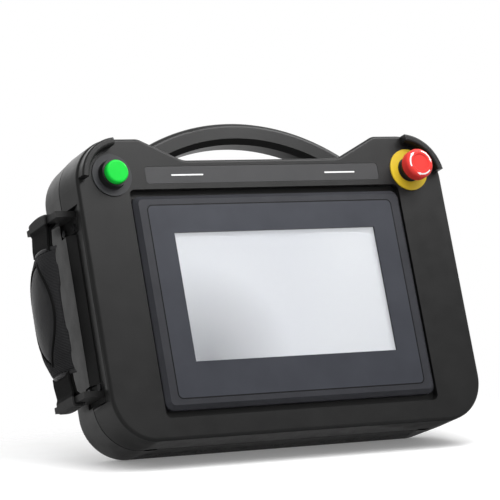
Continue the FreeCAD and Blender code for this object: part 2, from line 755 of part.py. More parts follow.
def make_rear_shell():
    body = new_body("rear_shell")
    feature = pad(body, case_outline(new_sketch(body, "XZ_Plane", "-shellRim")), "rearDepth", reverse=True)
    # the side walls lean in towards the back; the base and the top stay level
    lean = "rearDepth * tan(rearDraft)"
    sides = new_sketch(body, "XY_Plane")
    for sign in ("-", ""):
        corner = (f"{sign}half", "shellRim")
        polygon(sides, [corner, (f"{sign}half", "shellBack"), (f"{sign}(half - {lean})", "shellBack")])
    feature = soften_outline(body, pocket(body, sides, reverse=True))
    rim = value("shellRim")
    feature = hollowed(body, feature, lambda face: abs(face.CenterOfMass.y - rim) < 1e-4, "wall")
    for depth, radius in (("rearDepth", "rearEdgeRadius"), ("rearDepth - wall", "rearEdgeRadius - wall")):
        feature = rounded(body, feature, rim_at(rim + value(depth)), radius)
    # thick wall behind the grip, screw bosses, handle posts and the cable boss
    wall_sketch = new_sketch(body, "XY_Plane", "gripBottom - wall")
    polygon(wall_sketch, [
        ("-half + wall / 2", "shellRim"),
        ("-half + gripWall", "shellRim"),
        ("-half + gripWall + (rearDepth - wall) * tan(rearDraft)", "shellBack - wall"),
        ("-half + gripWallInset + (rearDepth - wall) * tan(rearDraft)", "shellBack - wall"),
    ])
    pad(body, wall_sketch, "gripTop - gripBottom + 2 * wall")
    bosses = new_sketch(body, "XZ_Plane", "-shellRim")
    for x, z in boss_places:
        circle(bosses, "bossDiameter", x, z)
    pad(body, bosses, "rearDepth - wall / 2", reverse=True)
    posts = new_sketch(body, "XZ_Plane", "-handleBack - handleClearance")
    for x, z in handle_places:
        circle(posts, "bossDiameter", x, z)
    pad(body, posts, "shellBack - wall / 2 - handleBack - handleClearance", reverse=True)
    cable_boss = new_sketch(body, "YZ_Plane", "half - wall - glandBossLength")
    pad(body, circle(cable_boss, "glandBossDiameter", "glandRear", "glandHeight"), "wall + glandBossLength")
    # screw holes from the back
    holes = new_sketch(body, "XZ_Plane", "-shellBack")
    sinks = new_sketch(body, "XZ_Plane", "-shellBack")
    for x, z in boss_places + handle_places:
        circle(holes, "screwDiameter + 2 * screwClearance", x, z)
        circle(sinks, "screwHeadDiameter + 2 * counterboreFit", x, z)
    pocket(body, holes, "rearDepth", reverse=True)
    pocket(body, sinks, "counterboreDepth", reverse=True)
    cable_hole = new_sketch(body, "YZ_Plane", "half")
    circle(cable_hole, "glandThread + 2 * barrelClearance", "glandRear", "glandHeight")
    pocket(body, cable_hole, "wall + glandBossLength")
    # anchor pockets and the handle's slots
    side_pockets(body, screwRear)
    pry_notches(body)
    slot = handle_profile(new_sketch(body, "XZ_Plane", "-handleCentre"), "handleClearance")
    return pocket(body, slot, "handleDepth + 2 * handleClearance", both=True)


def make_case_seal():
    body = new_body("case_seal", group=True)
    outline = case_outline(new_sketch(body, "XZ_Plane", "-shellRim"), "sealInset", "sealInset", "sealInset")
    feature = soften_outline(body, pad(body, outline, "sealThickness"), "sealInset")
    hollowed(body, feature, lambda face: abs(face.normalAt(0, 0).y) > 0.9, "sealWidth")
    return side_pockets(body)


def make_screws(label, spots, tip):
    """Socket-head screws along Y, driven in from the back, with their tips at the given depth."""
    body = new_body(label, group=True)
    seat = "(shellBack - counterboreDepth)"
    shanks = new_sketch(body, "XZ_Plane", f"-{seat}")
    heads = new_sketch(body, "XZ_Plane", f"-{seat}")
    sockets = new_sketch(body, "XZ_Plane", f"-{seat} - screwHeadHeight")
    for x, z in spots:
        circle(shanks, "screwDiameter", x, z)
        circle(heads, "screwHeadDiameter", x, z)
        hexagon(sockets, "screwSocket", x, z)
    pad(body, shanks, f"{seat} - ({tip})")
    pad(body, heads, "screwHeadHeight", reverse=True)
    return pocket(body, sockets, "screwSocketDepth", reverse=True)


def make_carry_handle():
    body = new_body("carry_handle")
    profile = handle_profile(new_sketch(body, "XZ_Plane", "-handleCentre"))
    feature = pad(body, profile, "handleDepth", both=True)
    feature = rounded(body, feature, round_of(value("handleOuterRadius")), "handleEdgeRadius")
    bevelled(body, feature, round_of(value("handleInnerRadius")), "handleBevel")
    holes = new_sketch(body, "XZ_Plane")
    for x, z in handle_places:
        circle(holes, "screwDiameter + 2 * screwClearance", x, z)
    return pocket(body, holes, both=True)


def make_label_plate():
    body = new_body("label_plate")
    size = ("labelWidth - 2 * labelClearance", "labelHeight - 2 * labelClearance", "labelCentre")
    sketch = centred(new_sketch(body, "XZ_Plane", "faceFront - labelDepth"), *size)
    feature = pad(body, sketch, "labelDepth - labelClearance")
    return rounded(body, feature, corners_of(*size), "labelCorner - labelClearance")


unitBack = "(faceFront - recessDepth + gasketThickness)"
unitFront = "(faceFront + bezelProud)"
glassFront = f"({unitFront} - filmThickness - windowPlate)"
glassSize = ("displayWidth + 2 * glassMargin", "displayHeight + 2 * glassMargin")
windowSize = ("displayWidth + 2 * windowMargin", "displayHeight + 2 * windowMargin", "displayCentre")
caseSize = ("openingWidth - 2 * unitClearance", "openingHeight - 2 * unitClearance", "unitCentre")


def make_unit_bezel():
    body = new_body("display_bezel")
    outline = centred(new_sketch(body, "XZ_Plane", unitBack), "bezelWidth", "bezelHeight", "unitCentre")
    feature = pad(body, outline, f"{unitFront} - {unitBack}")
    feature = rounded(body, feature, corners_of("bezelWidth", "bezelHeight", "unitCentre"), "bezelCorner")
    bevelled(body, feature, rim_at(-value(unitFront)), "bezelBevel")
    film = ("filmWidth + 2 * filmClearance", "filmHeight + 2 * filmClearance", "unitCentre")
    feature = pocket(body, centred(new_sketch(body, "XZ_Plane", unitFront), *film), "filmThickness")
    rounded(body, feature, corners_of(*film), "filmCorner + filmClearance")
    glass = centred(new_sketch(body, "XZ_Plane", unitBack), *glassSize, "displayCentre")
    pocket(body, glass, f"{glassFront} - {unitBack}", reverse=True)
    return pocket(body, centred(new_sketch(body, "XZ_Plane", unitFront), *windowSize))


def make_overlay_film():
    body = new_body("overlay_film")
    size = ("filmWidth", "filmHeight", "unitCentre")
    lift = f"{unitFront} - filmThickness"
    feature = pad(body, centred(new_sketch(body, "XZ_Plane", lift), *size), "filmThickness")
    rounded(body, feature, corners_of(*size), "filmCorner")
    return pocket(body, centred(new_sketch(body, "XZ_Plane", unitFront), *windowSize))


def make_touch_glass():
    body = new_body("touch_glass")
    width, height = [f"{side} - 2 * glassClearance" for side in glassSize]
    sketch = centred(new_sketch(body, "XZ_Plane", f"{glassFront} - glassThickness"), width, height, "displayCentre")
    return pad(body, sketch, "glassThickness")


lcdBack = f"({glassFront} - glassThickness - lcdThickness)"


def make_lcd_module():
    body = new_body("lcd_module")
    width, height = [f"{side} - 2 * glassClearance" for side in glassSize]
    sketch = centred(new_sketch(body, "XZ_Plane", lcdBack), width, height, "displayCentre")
    pad(body, sketch, "lcdThickness")
    # the frame of the module stands proud of the picture, which leaves air behind the glass
    width, height = [f"{side} + 2 * windowMargin" for side in windowSize[:2]]
    picture = centred(new_sketch(body, "XZ_Plane", f"{lcdBack} + lcdThickness"), width, height, "displayCentre")
    return pocket(body, picture, "lcdRecess")


boardSize = (f"{caseSize[0]} - 2 * unitWall - 2 * boardMargin", f"{caseSize[1]} - 2 * unitWall - 2 * boardMargin")
boardBack = f"({lcdBack} - boardSetback - boardThickness)"
standoffX = f"(({boardSize[0]}) / 2 - standoffInset)"
standoffZ = f"(({boardSize[1]}) / 2 - standoffInset)"
standoffs = [(f"{sx}{standoffX}", f"unitCentre {sz} {standoffZ}") for sx in ("-", "") for sz in ("-", "+")]


def make_unit_board():
    body = new_body("display_board")
    return pad(body, centred(new_sketch(body, "XZ_Plane", boardBack), *boardSize, "unitCentre"), "boardThickness")


def make_unit_case():
    body = new_body("display_case")
    feature = pad(body, centred(new_sketch(body, "XZ_Plane", unitBack), *caseSize), "unitDepth", reverse=True)
    front = -value(unitBack)
    hollowed(body, feature, lambda face: abs(face.CenterOfMass.y - front) < 1e-4, "unitWall")
    posts = new_sketch(body, "XZ_Plane", boardBack)
    for x, z in standoffs:
        circle(posts, "standoffDiameter", x, z)
    pad(body, posts, f"{boardBack} - {unitBack} + unitDepth - unitWall / 2", reverse=True)
    vent = new_sketch(body, "XZ_Plane", f"{unitBack} - unitDepth")
    start = "-(ventCount - 1) * ventPitch / 2"
    rectangle(vent, f"{start} - ventWidth / 2", f"{start} + ventWidth / 2",
              "unitCentre - ventLength / 2", "unitCentre + ventLength / 2")
    feature = pocket(body, vent, "2 * unitWall", reverse=True)
    vents = body.newObject("PartDesign::LinearPattern", "display_case_vents")
    vents.Originals = [feature]
    vents.Direction = (vent, ["H_Axis"])
    vents.setExpression("Length", bound("(ventCount - 1) * ventPitch"))
    vents.setExpression("Occurrences", bound("ventCount"))
    body.Tip = vents
    return settled(body, vents, False)


def make_unit_gasket():
    body = new_body("display_gasket")
    lift = "faceFront - recessDepth"
    ring = new_sketch(body, "XZ_Plane", lift)
    centred(ring, "bezelWidth - 2 * gasketInset", "bezelHeight - 2 * gasketInset", "unitCentre")
    centred(ring, "openingWidth", "openingHeight", "unitCentre")
    return pad(body, ring, "gasketThickness")


ledgeBack = "(faceFront - recessDepth - ledgeThickness)"
clamp_places = [(f"{sx}clampX", sz) for sx in ("-", "") for sz in ("-", "+")]
clampSeat = f"({caseSize[1]}) / 2"


def make_unit_clamps():
    body = new_body("display_clamps", group=True)
    blocks = new_sketch(body, "XZ_Plane", f"{ledgeBack} - clampSetback")
    holes = new_sketch(body, "XZ_Plane", f"{ledgeBack} - clampSetback")
    for x, sz in clamp_places:
        ends = sorted((f"unitCentre {sz} {clampSeat}", f"unitCentre {sz} ({clampSeat} + clampHeight)"), key=value)
        rectangle(blocks, f"{x} - clampWidth / 2", f"{x} + clampWidth / 2", *ends)
        middle = f"unitCentre {sz} ({clampSeat} + clampScrewLift)"
        circle(holes, "clampScrewDiameter + 2 * screwFit", x, middle)
    pad(body, blocks, "clampDepth", reverse=True)
    return pocket(body, holes)


def make_clamp_screws():
    body = new_body("clamp_screws", group=True)
    shanks = new_sketch(body, "XZ_Plane", ledgeBack)
    heads = new_sketch(body, "XZ_Plane", f"{ledgeBack} - clampScrewLength")
    for x, sz in clamp_places:
        middle = f"unitCentre {sz} ({clampSeat} + clampScrewLift)"
        circle(shanks, "clampScrewDiameter", x, middle)
        circle(heads, "clampHeadDiameter", x, middle)
    pad(body, shanks, "clampScrewLength", reverse=True)
    return pad(body, heads, "clampHeadHeight", reverse=True)


def button_body(label, side):
    """Body whose own origin is the centre of a button on the face, with the button's axis along Y."""
    return new_body(label, f"{side}buttonOffset", "-faceFront", "buttonHeight")


def make_legend(label, side, diameter, thickness):
    body = button_body(label, side)
    sketch = circle(new_sketch(body, "XZ_Plane"), diameter)
    circle(sketch, "barrelDiameter + 2 * barrelClearance")
    return pad(body, sketch, thickness)


def make_ring_nut(label, side):
    body = button_body(label, side)
    sketch = hexagon(new_sketch(body, "XZ_Plane", "-wall"), "nutAcross")
    circle(sketch, "barrelDiameter + 2 * threadFit")
    return pad(body, sketch, "nutThickness", reverse=True)


def make_contact_block(label, side, barrel_length, stem_diameter, travel):
    """Switch block clipped behind the barrel, with a bore for the stem and a terminal on each side."""
    body = button_body(label, side)
    feature = pad(body, centred(new_sketch(body, "XZ_Plane", f"-{barrel_length}"), "blockWidth", "blockWidth"),
                  "blockDepth", reverse=True)
    rounded(body, feature, corners_of("blockWidth", "blockWidth"), "blockTerminal / 2")
    terminals = new_sketch(body, "XZ_Plane", f"-{barrel_length} - blockDepth")
    for sign in ("-", ""):
        rectangle(terminals, f"{sign}blockWidth / 4 - blockTerminal / 2", f"{sign}blockWidth / 4 + blockTerminal / 2",
                  "-blockWidth / 3", "blockWidth / 3")
    pad(body, terminals, "blockTerminal", reverse=True)
    bore = circle(new_sketch(body, "XZ_Plane", f"-{barrel_length}"), f"{stem_diameter} + 2 * blockBoreSpare")
    return pocket(body, bore, f"stemReach + {travel} + travelSpare")


def make_spring(label, side, bore, start, end):
    """Coil spring about the button's axis, between two seats, of wire with six flats."""
    body = button_body(label, side)
    radius = f"({bore}) / 2 - springGap - springWire / 2"
    lift = "(springWire / sqrt(3) + springSeatGap)"
    sketch = hexagon(new_sketch(body, "YZ_Plane"), "springWire", f"{start} + {lift}", radius)
    coil = body.newObject("PartDesign::AdditiveHelix", f"{label}_coil")
    coil.Profile = sketch
    coil.ReferenceAxis = (sketch, ["H_Axis"])
    coil.Mode = "height-turns-angle"
    coil.setExpression("Height", bound(f"({end}) - ({start}) - 2 * {lift}"))
    coil.setExpression("Turns", bound("springTurns"))
    return settled(body, coil, True)


startCapBottom = "(startRecessFloor + startTravel + travelSpare)"
startSpringEnd = "(startBarrelLength - startGuideLength)"


def make_start_button():
    make_legend("start_legend_plate", "-", "startPlateDiameter", "startPlateThickness")
    body = button_body("start_button_body", "-")
    recess = "startCapDiameter / 2 + startCapFit"
    guide = "startStemDiameter / 2 + stemFit"
    turned(body, [
        ("-startPlateThickness", "startCollarDiameter / 2"),
        ("-startCollarHeight", "startCollarTop / 2"),
        ("-startCollarHeight", recess),
        ("-startRecessFloor", recess),
        ("-startRecessFloor", "startSpringBore / 2"),
        (startSpringEnd, "startSpringBore / 2"),
        (startSpringEnd, guide),
        ("startBarrelLength", guide),
        ("startBarrelLength", "barrelDiameter / 2"),
        ("-startPlateThickness", "barrelDiameter / 2"),
    ])
    body = button_body("start_cap", "-")
    feature = turned(body, [
        ("-startCapHeight", "0"),
        ("-startCapHeight", "startCapDiameter / 2"),
        (f"-{startCapBottom}", "startCapDiameter / 2"),
        (f"-{startCapBottom}", "startStemDiameter / 2"),
        ("startBarrelLength + stemReach", "startStemDiameter / 2"),
        ("startBarrelLength + stemReach", "0"),
    ])
    rounded(body, feature, rim_at(-value("startCapHeight")), "startCapRound")
    make_spring("start_spring", "-", "startSpringBore", f"-{startCapBottom}", startSpringEnd)
    make_ring_nut("start_nut", "-")
    make_contact_block("start_contact_block", "-", "startBarrelLength", "startStemDiameter", "startTravel")


stopRoof = "(stopHeadRim + stopCavityDepth)"
stopShoulder = "(stopNeckHeight - stopNeckGuide)"
stopSpringEnd = "(stopBarrelLength - stopGuideLength)"


def make_stop_button():
    make_legend("stop_legend_disc", "", "stopPlateDiameter", "stopPlateThickness")
    body = button_body("stop_button_body", "")
    flange = "stopPlateThickness + stopFlangeThickness"
    guide = "stopShaftDiameter / 2 + stemFit"
    turned(body, [
        ("-stopPlateThickness", "stopFlangeDiameter / 2"),
        (f"-({flange})", "stopFlangeDiameter / 2"),
        (f"-({flange})", "stopNeckDiameter / 2"),
        ("-stopNeckHeight", "stopNeckDiameter / 2"),
        ("-stopNeckHeight", guide),
        (f"-{stopShoulder}", guide),
        (f"-{stopShoulder}", "stopSpringBore / 2"),
        (stopSpringEnd, "stopSpringBore / 2"),
        (stopSpringEnd, guide),
        ("stopBarrelLength", guide),
        ("stopBarrelLength", "barrelDiameter / 2"),
        ("-stopPlateThickness", "barrelDiameter / 2"),
    ])
    shoulder = f"{stopShoulder} - shoulderGap"
    turned(button_body("stop_shaft", ""), [
        (f"-{stopRoof} - stopShaftGrip", "0"),
        (f"-{stopRoof} - stopShaftGrip", "stopShaftDiameter / 2"),
        (f"-({shoulder})", "stopShaftDiameter / 2"),
        (f"-({shoulder})", "stopShoulderDiameter / 2"),
        (f"-({shoulder}) + stopShoulderThickness", "stopShoulderDiameter / 2"),
        (f"-({shoulder}) + stopShoulderThickness", "stopShaftDiameter / 2"),
        ("stopBarrelLength + stemReach", "stopShaftDiameter / 2"),
        ("stopBarrelLength + stemReach", "0"),
    ])
    body = button_body("stop_head", "")
    feature = turned(body, [
        ("-stopHeadTop + stopDishDepth", "0"),
        ("-stopHeadTop + stopDishDepth", "stopDishDiameter / 2 - stopDishDepth"),
        ("-stopHeadTop", "stopDishDiameter / 2"),
        ("-stopHeadTop", "stopHeadDiameter / 2"),
        ("-stopHeadRim", "stopHeadDiameter / 2"),
        ("-stopHeadRim", "stopHeadCavity / 2"),
        (f"-{stopRoof}", "stopHeadCavity / 2"),
        (f"-{stopRoof}", guide),
        (f"-{stopRoof} - stopShaftGrip", guide),
        (f"-{stopRoof} - stopShaftGrip", "0"),
    ])
    on_top, outer = rim_at(-value("stopHeadTop")), round_of(value("stopHeadDiameter / 2"))
    rounded(body, feature, lambda edge: on_top(edge) and outer(edge), "stopHeadRound")
    spring_start = f"-({shoulder}) + stopShoulderThickness"
    make_spring("stop_spring", "", "stopSpringBore", spring_start, stopSpringEnd)
    make_ring_nut("stop_nut", "")
    make_contact_block("stop_contact_block", "", "stopBarrelLength", "stopShaftDiameter", "stopTravel")


pocketFloor = "(half - pocketDepth)"
slotHalf = "(webbingWidth / 2 + webbingSpare)"
shelfFront = "(-pocketFront + anchorFit)"
shelfRear = f"(strapCentre + {slotHalf} + anchorRail)"


def make_strap_anchor(label):
    """Flange in the side pocket, and a slotted shelf whose outer bar holds the webbing."""
    low, shelf, screw_height = anchors[label]
    body = new_body(label)
    flange = new_sketch(body, "YZ_Plane", f"-{pocketFloor}")
    rectangle(flange, "-pocketFront + anchorFit", "pocketRear - anchorFit",
              f"{low} + anchorFit", f"{low} + pocketHeight - anchorFit")
    pad(body, flange, "anchorFlange", reverse=True)
    plate = new_sketch(body, "XY_Plane", shelf)
    inner = "-half - anchorWallGap"
    root = f"-{pocketFloor} - anchorFlange / 2"
    polygon(plate, [
        (root, shelfFront), (root, "pocketRear - anchorFit"), (inner, "pocketRear - anchorFit"),
        (inner, shelfRear), ("-anchorReach", shelfRear), ("-anchorReach", shelfFront),
    ])
    pad(body, plate, "anchorThickness")
    slot = new_sketch(body, "XY_Plane", shelf)
    rectangle(slot, "-anchorReach + anchorBar", "-anchorReach + anchorBar + anchorSlot",
              f"strapCentre - {slotHalf}", f"strapCentre + {slotHalf}")
    pocket(body, slot, "anchorThickness", reverse=True)
    holes = new_sketch(body, "YZ_Plane", f"-{pocketFloor}")
    for y in (screwFront, screwRear):
        circle(holes, "anchorScrewDiameter + 2 * screwFit", y, screw_height)
    return pocket(body, holes, "anchorFlange")


def make_anchor_screws():
    body = new_body("anchor_screws", group=True)
    seat = f"-{pocketFloor} - anchorFlange"
    shanks = new_sketch(body, "YZ_Plane", seat)
    heads = new_sketch(body, "YZ_Plane", seat)
    for _, _, height in anchors.values():
        for y in (screwFront, screwRear):
            circle(shanks, "anchorScrewDiameter", y, height)
            circle(heads, "anchorScrewHead", y, height)
    pad(body, shanks, "anchorScrewLength - tipSpare")
    return pad(body, heads, "anchorScrewHeadHeight", reverse=True)


def make_strap_webbing():
    """Two loops of webbing, each folded round the bar of an anchor, with both legs ending together at the pad."""
    body = new_body("strap_webbing", group=True)
    outer, inner = "-anchorReach - webbingFit", "-anchorReach + anchorBar + webbingFit"
    meeting = f"{outer} + webbingFit"
    sketch = new_sketch(body, "XZ_Plane", "-strapCentre")
    for label, end, sign in (("strap_anchor_lower", "padBottom", "-"), ("strap_anchor_upper", "padTop", "+")):
        shelf = anchors[label][1]
        below, above = f"{shelf} - webbingFit", f"{shelf} + anchorThickness + webbingFit"
        fold, bend = (below, above) if sign == "-" else (above, below)
        polygon(sketch, [
            (outer, end), (outer, fold), (inner, fold), (inner, bend), (meeting, end),
            (f"{meeting} + webbingThickness", end), (f"{inner} + webbingThickness", bend),
            (f"{inner} + webbingThickness", f"{fold} {sign} webbingThickness"),
            (f"{outer} - webbingThickness", f"{fold} {sign} webbingThickness"), (f"{outer} - webbingThickness", end),
        ])
    return pad(body, sketch, "webbingWidth", both=True)


def make_strap_pad():
    """Pad of the hand strap: a crowned section swept along a bow, narrower and level at its ends."""
    body = new_body("strap_pad", "padBowRadius - padOuter", "strapCentre", "padMiddle")
    section = new_sketch(body, "XY_Plane")
    arched(section, [
        ("-padBowRadius + padCrown", "padCrown", "-"),
        ("-padBowRadius + padThickness + padHollow", "padHollow", "-"),
    ], "padWidth / 2 + padTrim")
    swept = body.newObject("PartDesign::Revolution", "strap_pad_swept")
    swept.Profile = section
    swept.ReferenceAxis = (section, ["V_Axis"])
    swept.Midplane = True
    swept.setExpression("Angle", bound("4 * asin(padRise / padBowRadius)"))
    settled(body, swept, True)
    sides = new_sketch(body, "YZ_Plane")
    arched(sides, [
        ("padTaperRadius - padWidth / 2", "padTaperRadius", "-"),
        ("-padTaperRadius + padWidth / 2", "padTaperRadius", "+"),
    ], "padRise")
    centred(sides, "2 * padWidth", "4 * padRise")
    feature = pocket(body, sides, both=True)

    def across(edge):
        return edge.BoundBox.YLength + edge.BoundBox.ZLength < 1e-3

    feature = rounded(body, feature, across, "padCornerRadius")
    return rounded(body, feature, lambda edge: not across(edge), "padEdgeRadius")


def make_cable_gland():
    body = new_body("gland_body", "half", "glandRear", "glandHeight")
    pad(body, hexagon(new_sketch(body, "YZ_Plane"), "glandHex"), "glandHexHeight")
    pad(body, circle(new_sketch(body, "YZ_Plane"), "glandThread"), "glandInside", reverse=True)
    pocket(body, circle(new_sketch(body, "YZ_Plane"), "glandBore"), both=True)
    body = new_body("gland_cap", "half", "glandRear", "glandHeight")
    feature = pad(body, circle(new_sketch(body, "YZ_Plane", "glandHexHeight"), "glandCapDiameter"), "glandCapHeight")
    end = value("glandHexHeight + glandCapHeight")
    rounded(body, feature, lambda edge: abs(edge.BoundBox.XMin - end) < 1e-4, "glandCapRound")
    pocket(body, circle(new_sketch(body, "YZ_Plane"), "glandBore"), both=True)
    body = new_body("gland_nut", "half - wall - glandBossLength", "glandRear", "glandHeight")
    nut = hexagon(new_sketch(body, "YZ_Plane"), "glandHex")
    circle(nut, "glandThread + 2 * threadFit")
    return pad(body, nut, "glandNutThickness", reverse=True)


make_front_cover()
make_rear_shell()
make_case_seal()
make_screws("case_screws", boss_places, "coverRim - screwEngagement")
make_screws("handle_screws", handle_places, "handleFront - screwEngagement + tipSpare")
make_carry_handle()
make_label_plate()
make_unit_bezel()
make_overlay_film()
make_touch_glass()
make_lcd_module()
make_unit_board()
make_unit_case()
make_unit_gasket()
make_unit_clamps()
make_clamp_screws()
make_start_button()
make_stop_button()
for anchor in anchors:
    make_strap_anchor(anchor)
make_anchor_screws()
make_strap_webbing()
make_strap_pad()
make_cable_gland()

os.makedirs("parts", exist_ok=True)
doc.recompute()
for item in doc.Objects:
    if "Invalid" in item.State or "Error" in item.State:
        raise RuntimeError(f"{item.Label} did not build: {item.State}")
for piece in pieces:
    if piece.Shape.isNull() or not piece.Shape.isValid():
        raise RuntimeError(f"{piece.Label} has no valid shape")
    piece.Shape.exportStep(f"parts/{piece.Label}.step")
    print(f"{piece.Label}: {len(piece.Shape.Solids)} solid, {piece.Shape.Volume / 1000:.2f} cm3")
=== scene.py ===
import json
import math

import bmesh
import bpy
import numpy as np
from mathutils import Matrix, Vector
from mathutils.bvhtree import BVHTree


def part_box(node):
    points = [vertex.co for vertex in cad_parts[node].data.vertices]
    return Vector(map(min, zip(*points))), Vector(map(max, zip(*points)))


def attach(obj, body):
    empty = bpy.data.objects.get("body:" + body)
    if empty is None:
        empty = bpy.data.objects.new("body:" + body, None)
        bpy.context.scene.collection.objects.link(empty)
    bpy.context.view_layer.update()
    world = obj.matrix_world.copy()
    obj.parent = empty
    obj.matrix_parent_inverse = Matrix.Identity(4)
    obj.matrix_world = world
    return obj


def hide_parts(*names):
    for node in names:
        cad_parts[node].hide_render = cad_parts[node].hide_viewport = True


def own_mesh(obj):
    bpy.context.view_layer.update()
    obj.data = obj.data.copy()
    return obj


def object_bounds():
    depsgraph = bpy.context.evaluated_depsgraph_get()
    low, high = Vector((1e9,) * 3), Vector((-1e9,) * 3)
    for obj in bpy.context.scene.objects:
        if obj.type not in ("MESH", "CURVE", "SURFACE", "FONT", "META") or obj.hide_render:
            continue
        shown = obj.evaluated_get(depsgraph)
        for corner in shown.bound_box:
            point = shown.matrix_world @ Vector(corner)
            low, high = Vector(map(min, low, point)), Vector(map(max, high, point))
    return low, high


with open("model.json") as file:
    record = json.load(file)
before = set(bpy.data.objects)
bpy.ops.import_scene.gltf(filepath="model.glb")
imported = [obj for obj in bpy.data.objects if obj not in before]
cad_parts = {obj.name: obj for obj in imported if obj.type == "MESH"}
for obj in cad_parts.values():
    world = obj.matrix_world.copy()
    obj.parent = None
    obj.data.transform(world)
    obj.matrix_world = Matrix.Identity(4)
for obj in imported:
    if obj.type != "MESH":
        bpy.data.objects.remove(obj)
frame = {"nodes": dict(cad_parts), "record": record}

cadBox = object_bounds()
nodes = frame["nodes"]
scene = bpy.context.scene
scene.view_settings.view_transform = "Standard"
mm = 0.001
rayRoom = 0.1       # rays that look for a surface start this far outside the part
print("frame loaded:", len(nodes), "nodes")


# camera, low and to the left of the panel, looking up a little
viewpoint = {
    "place": (-0.9245, -1.5247, -0.2969),
    "right": (0.8645, -0.4733, -0.1691),
    "down": (-0.0299, 0.2874, -0.9574),
    "lens": 194.4,
    "sensor": 36.0,
    "clipEnd": 50,
}


def placeCamera():
    data = bpy.data.cameras.new("panelCamera")
    data.sensor_width = viewpoint["sensor"]
    data.lens = viewpoint["lens"]
    data.clip_end = viewpoint["clipEnd"]
    camera = bpy.data.objects.new("panelCamera", data)
    scene.collection.objects.link(camera)
    right = Vector(viewpoint["right"]).normalized()
    back = right.cross(-Vector(viewpoint["down"])).normalized()
    up = back.cross(right)
    turn = Matrix((right, up, back)).transposed().to_4x4()
    camera.matrix_world = Matrix.Translation(viewpoint["place"]) @ turn
    scene.camera = camera


placeCamera()
print("camera placed")


# short forms for the node trees
noiseLow, noiseHigh = 0.3, 0.7      # a noise field mostly lies between these


def ranged(tree, field, low, high, fromLow=noiseLow, fromHigh=noiseHigh):
    node = tree.nodes.new("ShaderNodeMapRange")
    node.inputs["From Min"].default_value = fromLow
    node.inputs["From Max"].default_value = fromHigh
    node.inputs["To Min"].default_value = low
    node.inputs["To Max"].default_value = high
    tree.links.new(field, node.inputs["Value"])
    return node.outputs["Result"]


def mathStep(tree, operation, value, other=0.0):
    step = tree.nodes.new("ShaderNodeMath")
    step.operation = operation
    tree.links.new(value, step.inputs[0])
    if isinstance(other, bpy.types.NodeSocket):
        tree.links.new(other, step.inputs[1])
    else:
        step.inputs[1].default_value = other
    return step.outputs[0]


def splitAxes(tree, place):
    split = tree.nodes.new("ShaderNodeSeparateXYZ")
    tree.links.new(place, split.inputs[0])
    return split.outputs


def mixShaders(tree, share, first, second):
    mix = tree.nodes.new("ShaderNodeMixShader")
    for socket, source in zip(mix.inputs, (share, first, second)):
        tree.links.new(source, socket)
    return mix.outputs[0]


# studio: white surroundings, a sky that is bright above and dim below, soft lamps round the panel
studio = {
    "seenWhite": 1.0,
    "sky": (0.25, 0.95),            # strength of the surroundings at their dim and their bright side
    "skySpan": (-0.3, 1.0),
    "skyTowards": (-0.35, -0.35, 0.87),
    "lamps": {
        "topLamp": {"place": (0.12, -0.26, 0.44), "aim": (0.02, 0.0, 0.12), "size": (0.42, 0.2), "watts": 0.9},
        "farLamp": {"place": (-0.1, -1.1, 0.9), "aim": (0.0, -0.1, 0.0), "size": (1.2, 0.8), "watts": 6.0},
        "topCard": {"place": (0.35, -0.45, 0.55), "aim": (0.08, 0.0, 0.12), "size": (0.9, 0.3), "watts": 9.8},
        "rearLamp": {"place": (0.2, 0.9, 0.9), "aim": (0.0, 0.0, 0.15), "size": (1.2, 0.4), "watts": 2.0},
    },
    "cards": ("topCard",),          # lamps that only show as a gloss
    "floorColour": (1.0, 1.0, 1.0, 1),
    "floorUnseen": (0.5, 0.5, 0.5, 1),
    "floorLift": 0.18,
    "floorReach": 4.0,
    "leanAngle": 20.3,              # slope of the table under the panel in the main view
    "leanTouch": (0.0313, 0.0005),  # rear distance and height where the slope meets the rounded rear edge
    "leanBehind": 0.16,
    "leanFade": (0.01, 0.15),       # distances behind that line between which the slope fades away
}


# 1 for rays that show the white surroundings, 0 for rays that light the panel
def whiteRays(tree):
    rays = tree.nodes.new("ShaderNodeLightPath").outputs
    seen = mathStep(tree, "MAXIMUM", rays["Is Camera Ray"], rays["Is Glossy Ray"])
    return mathStep(tree, "MAXIMUM", seen, rays["Is Transmission Ray"])


def makeSky():
    world = bpy.data.worlds.new("studioWorld")
    scene.world = world
    world.use_nodes = True
    tree = world.node_tree
    sky, seen = tree.nodes["Background"], tree.nodes.new("ShaderNodeBackground")
    for background in (sky, seen):
        background.inputs["Color"].default_value = (1, 1, 1, 1)
    seen.inputs["Strength"].default_value = studio["seenWhite"]
    towards = tree.nodes.new("ShaderNodeVectorMath")
    towards.operation = "DOT_PRODUCT"
    towards.inputs[1].default_value = studio["skyTowards"]
    tree.links.new(tree.nodes.new("ShaderNodeTexCoord").outputs["Generated"], towards.inputs[0])
    rise = ranged(tree, towards.outputs["Value"], *studio["sky"], *studio["skySpan"])
    tree.links.new(rise, sky.inputs["Strength"])
    both = mixShaders(tree, whiteRays(tree), sky.outputs[0], seen.outputs[0])
    tree.links.new(both, tree.nodes["World Output"].inputs["Surface"])


def hangLamps():
    for name, lamp in studio["lamps"].items():
        data = bpy.data.lights.new(name, "AREA")
        data.shape = "RECTANGLE"
        data.size, data.size_y = lamp["size"]
        data.energy = lamp["watts"]
        light = bpy.data.objects.new(name, data)
        scene.collection.objects.link(light)
        light.location = lamp["place"]
        aim = Vector(lamp["aim"]) - Vector(lamp["place"])
        light.rotation_euler = aim.to_track_quat("-Z", "Y").to_euler()
        light.visible_diffuse = name not in studio["cards"]


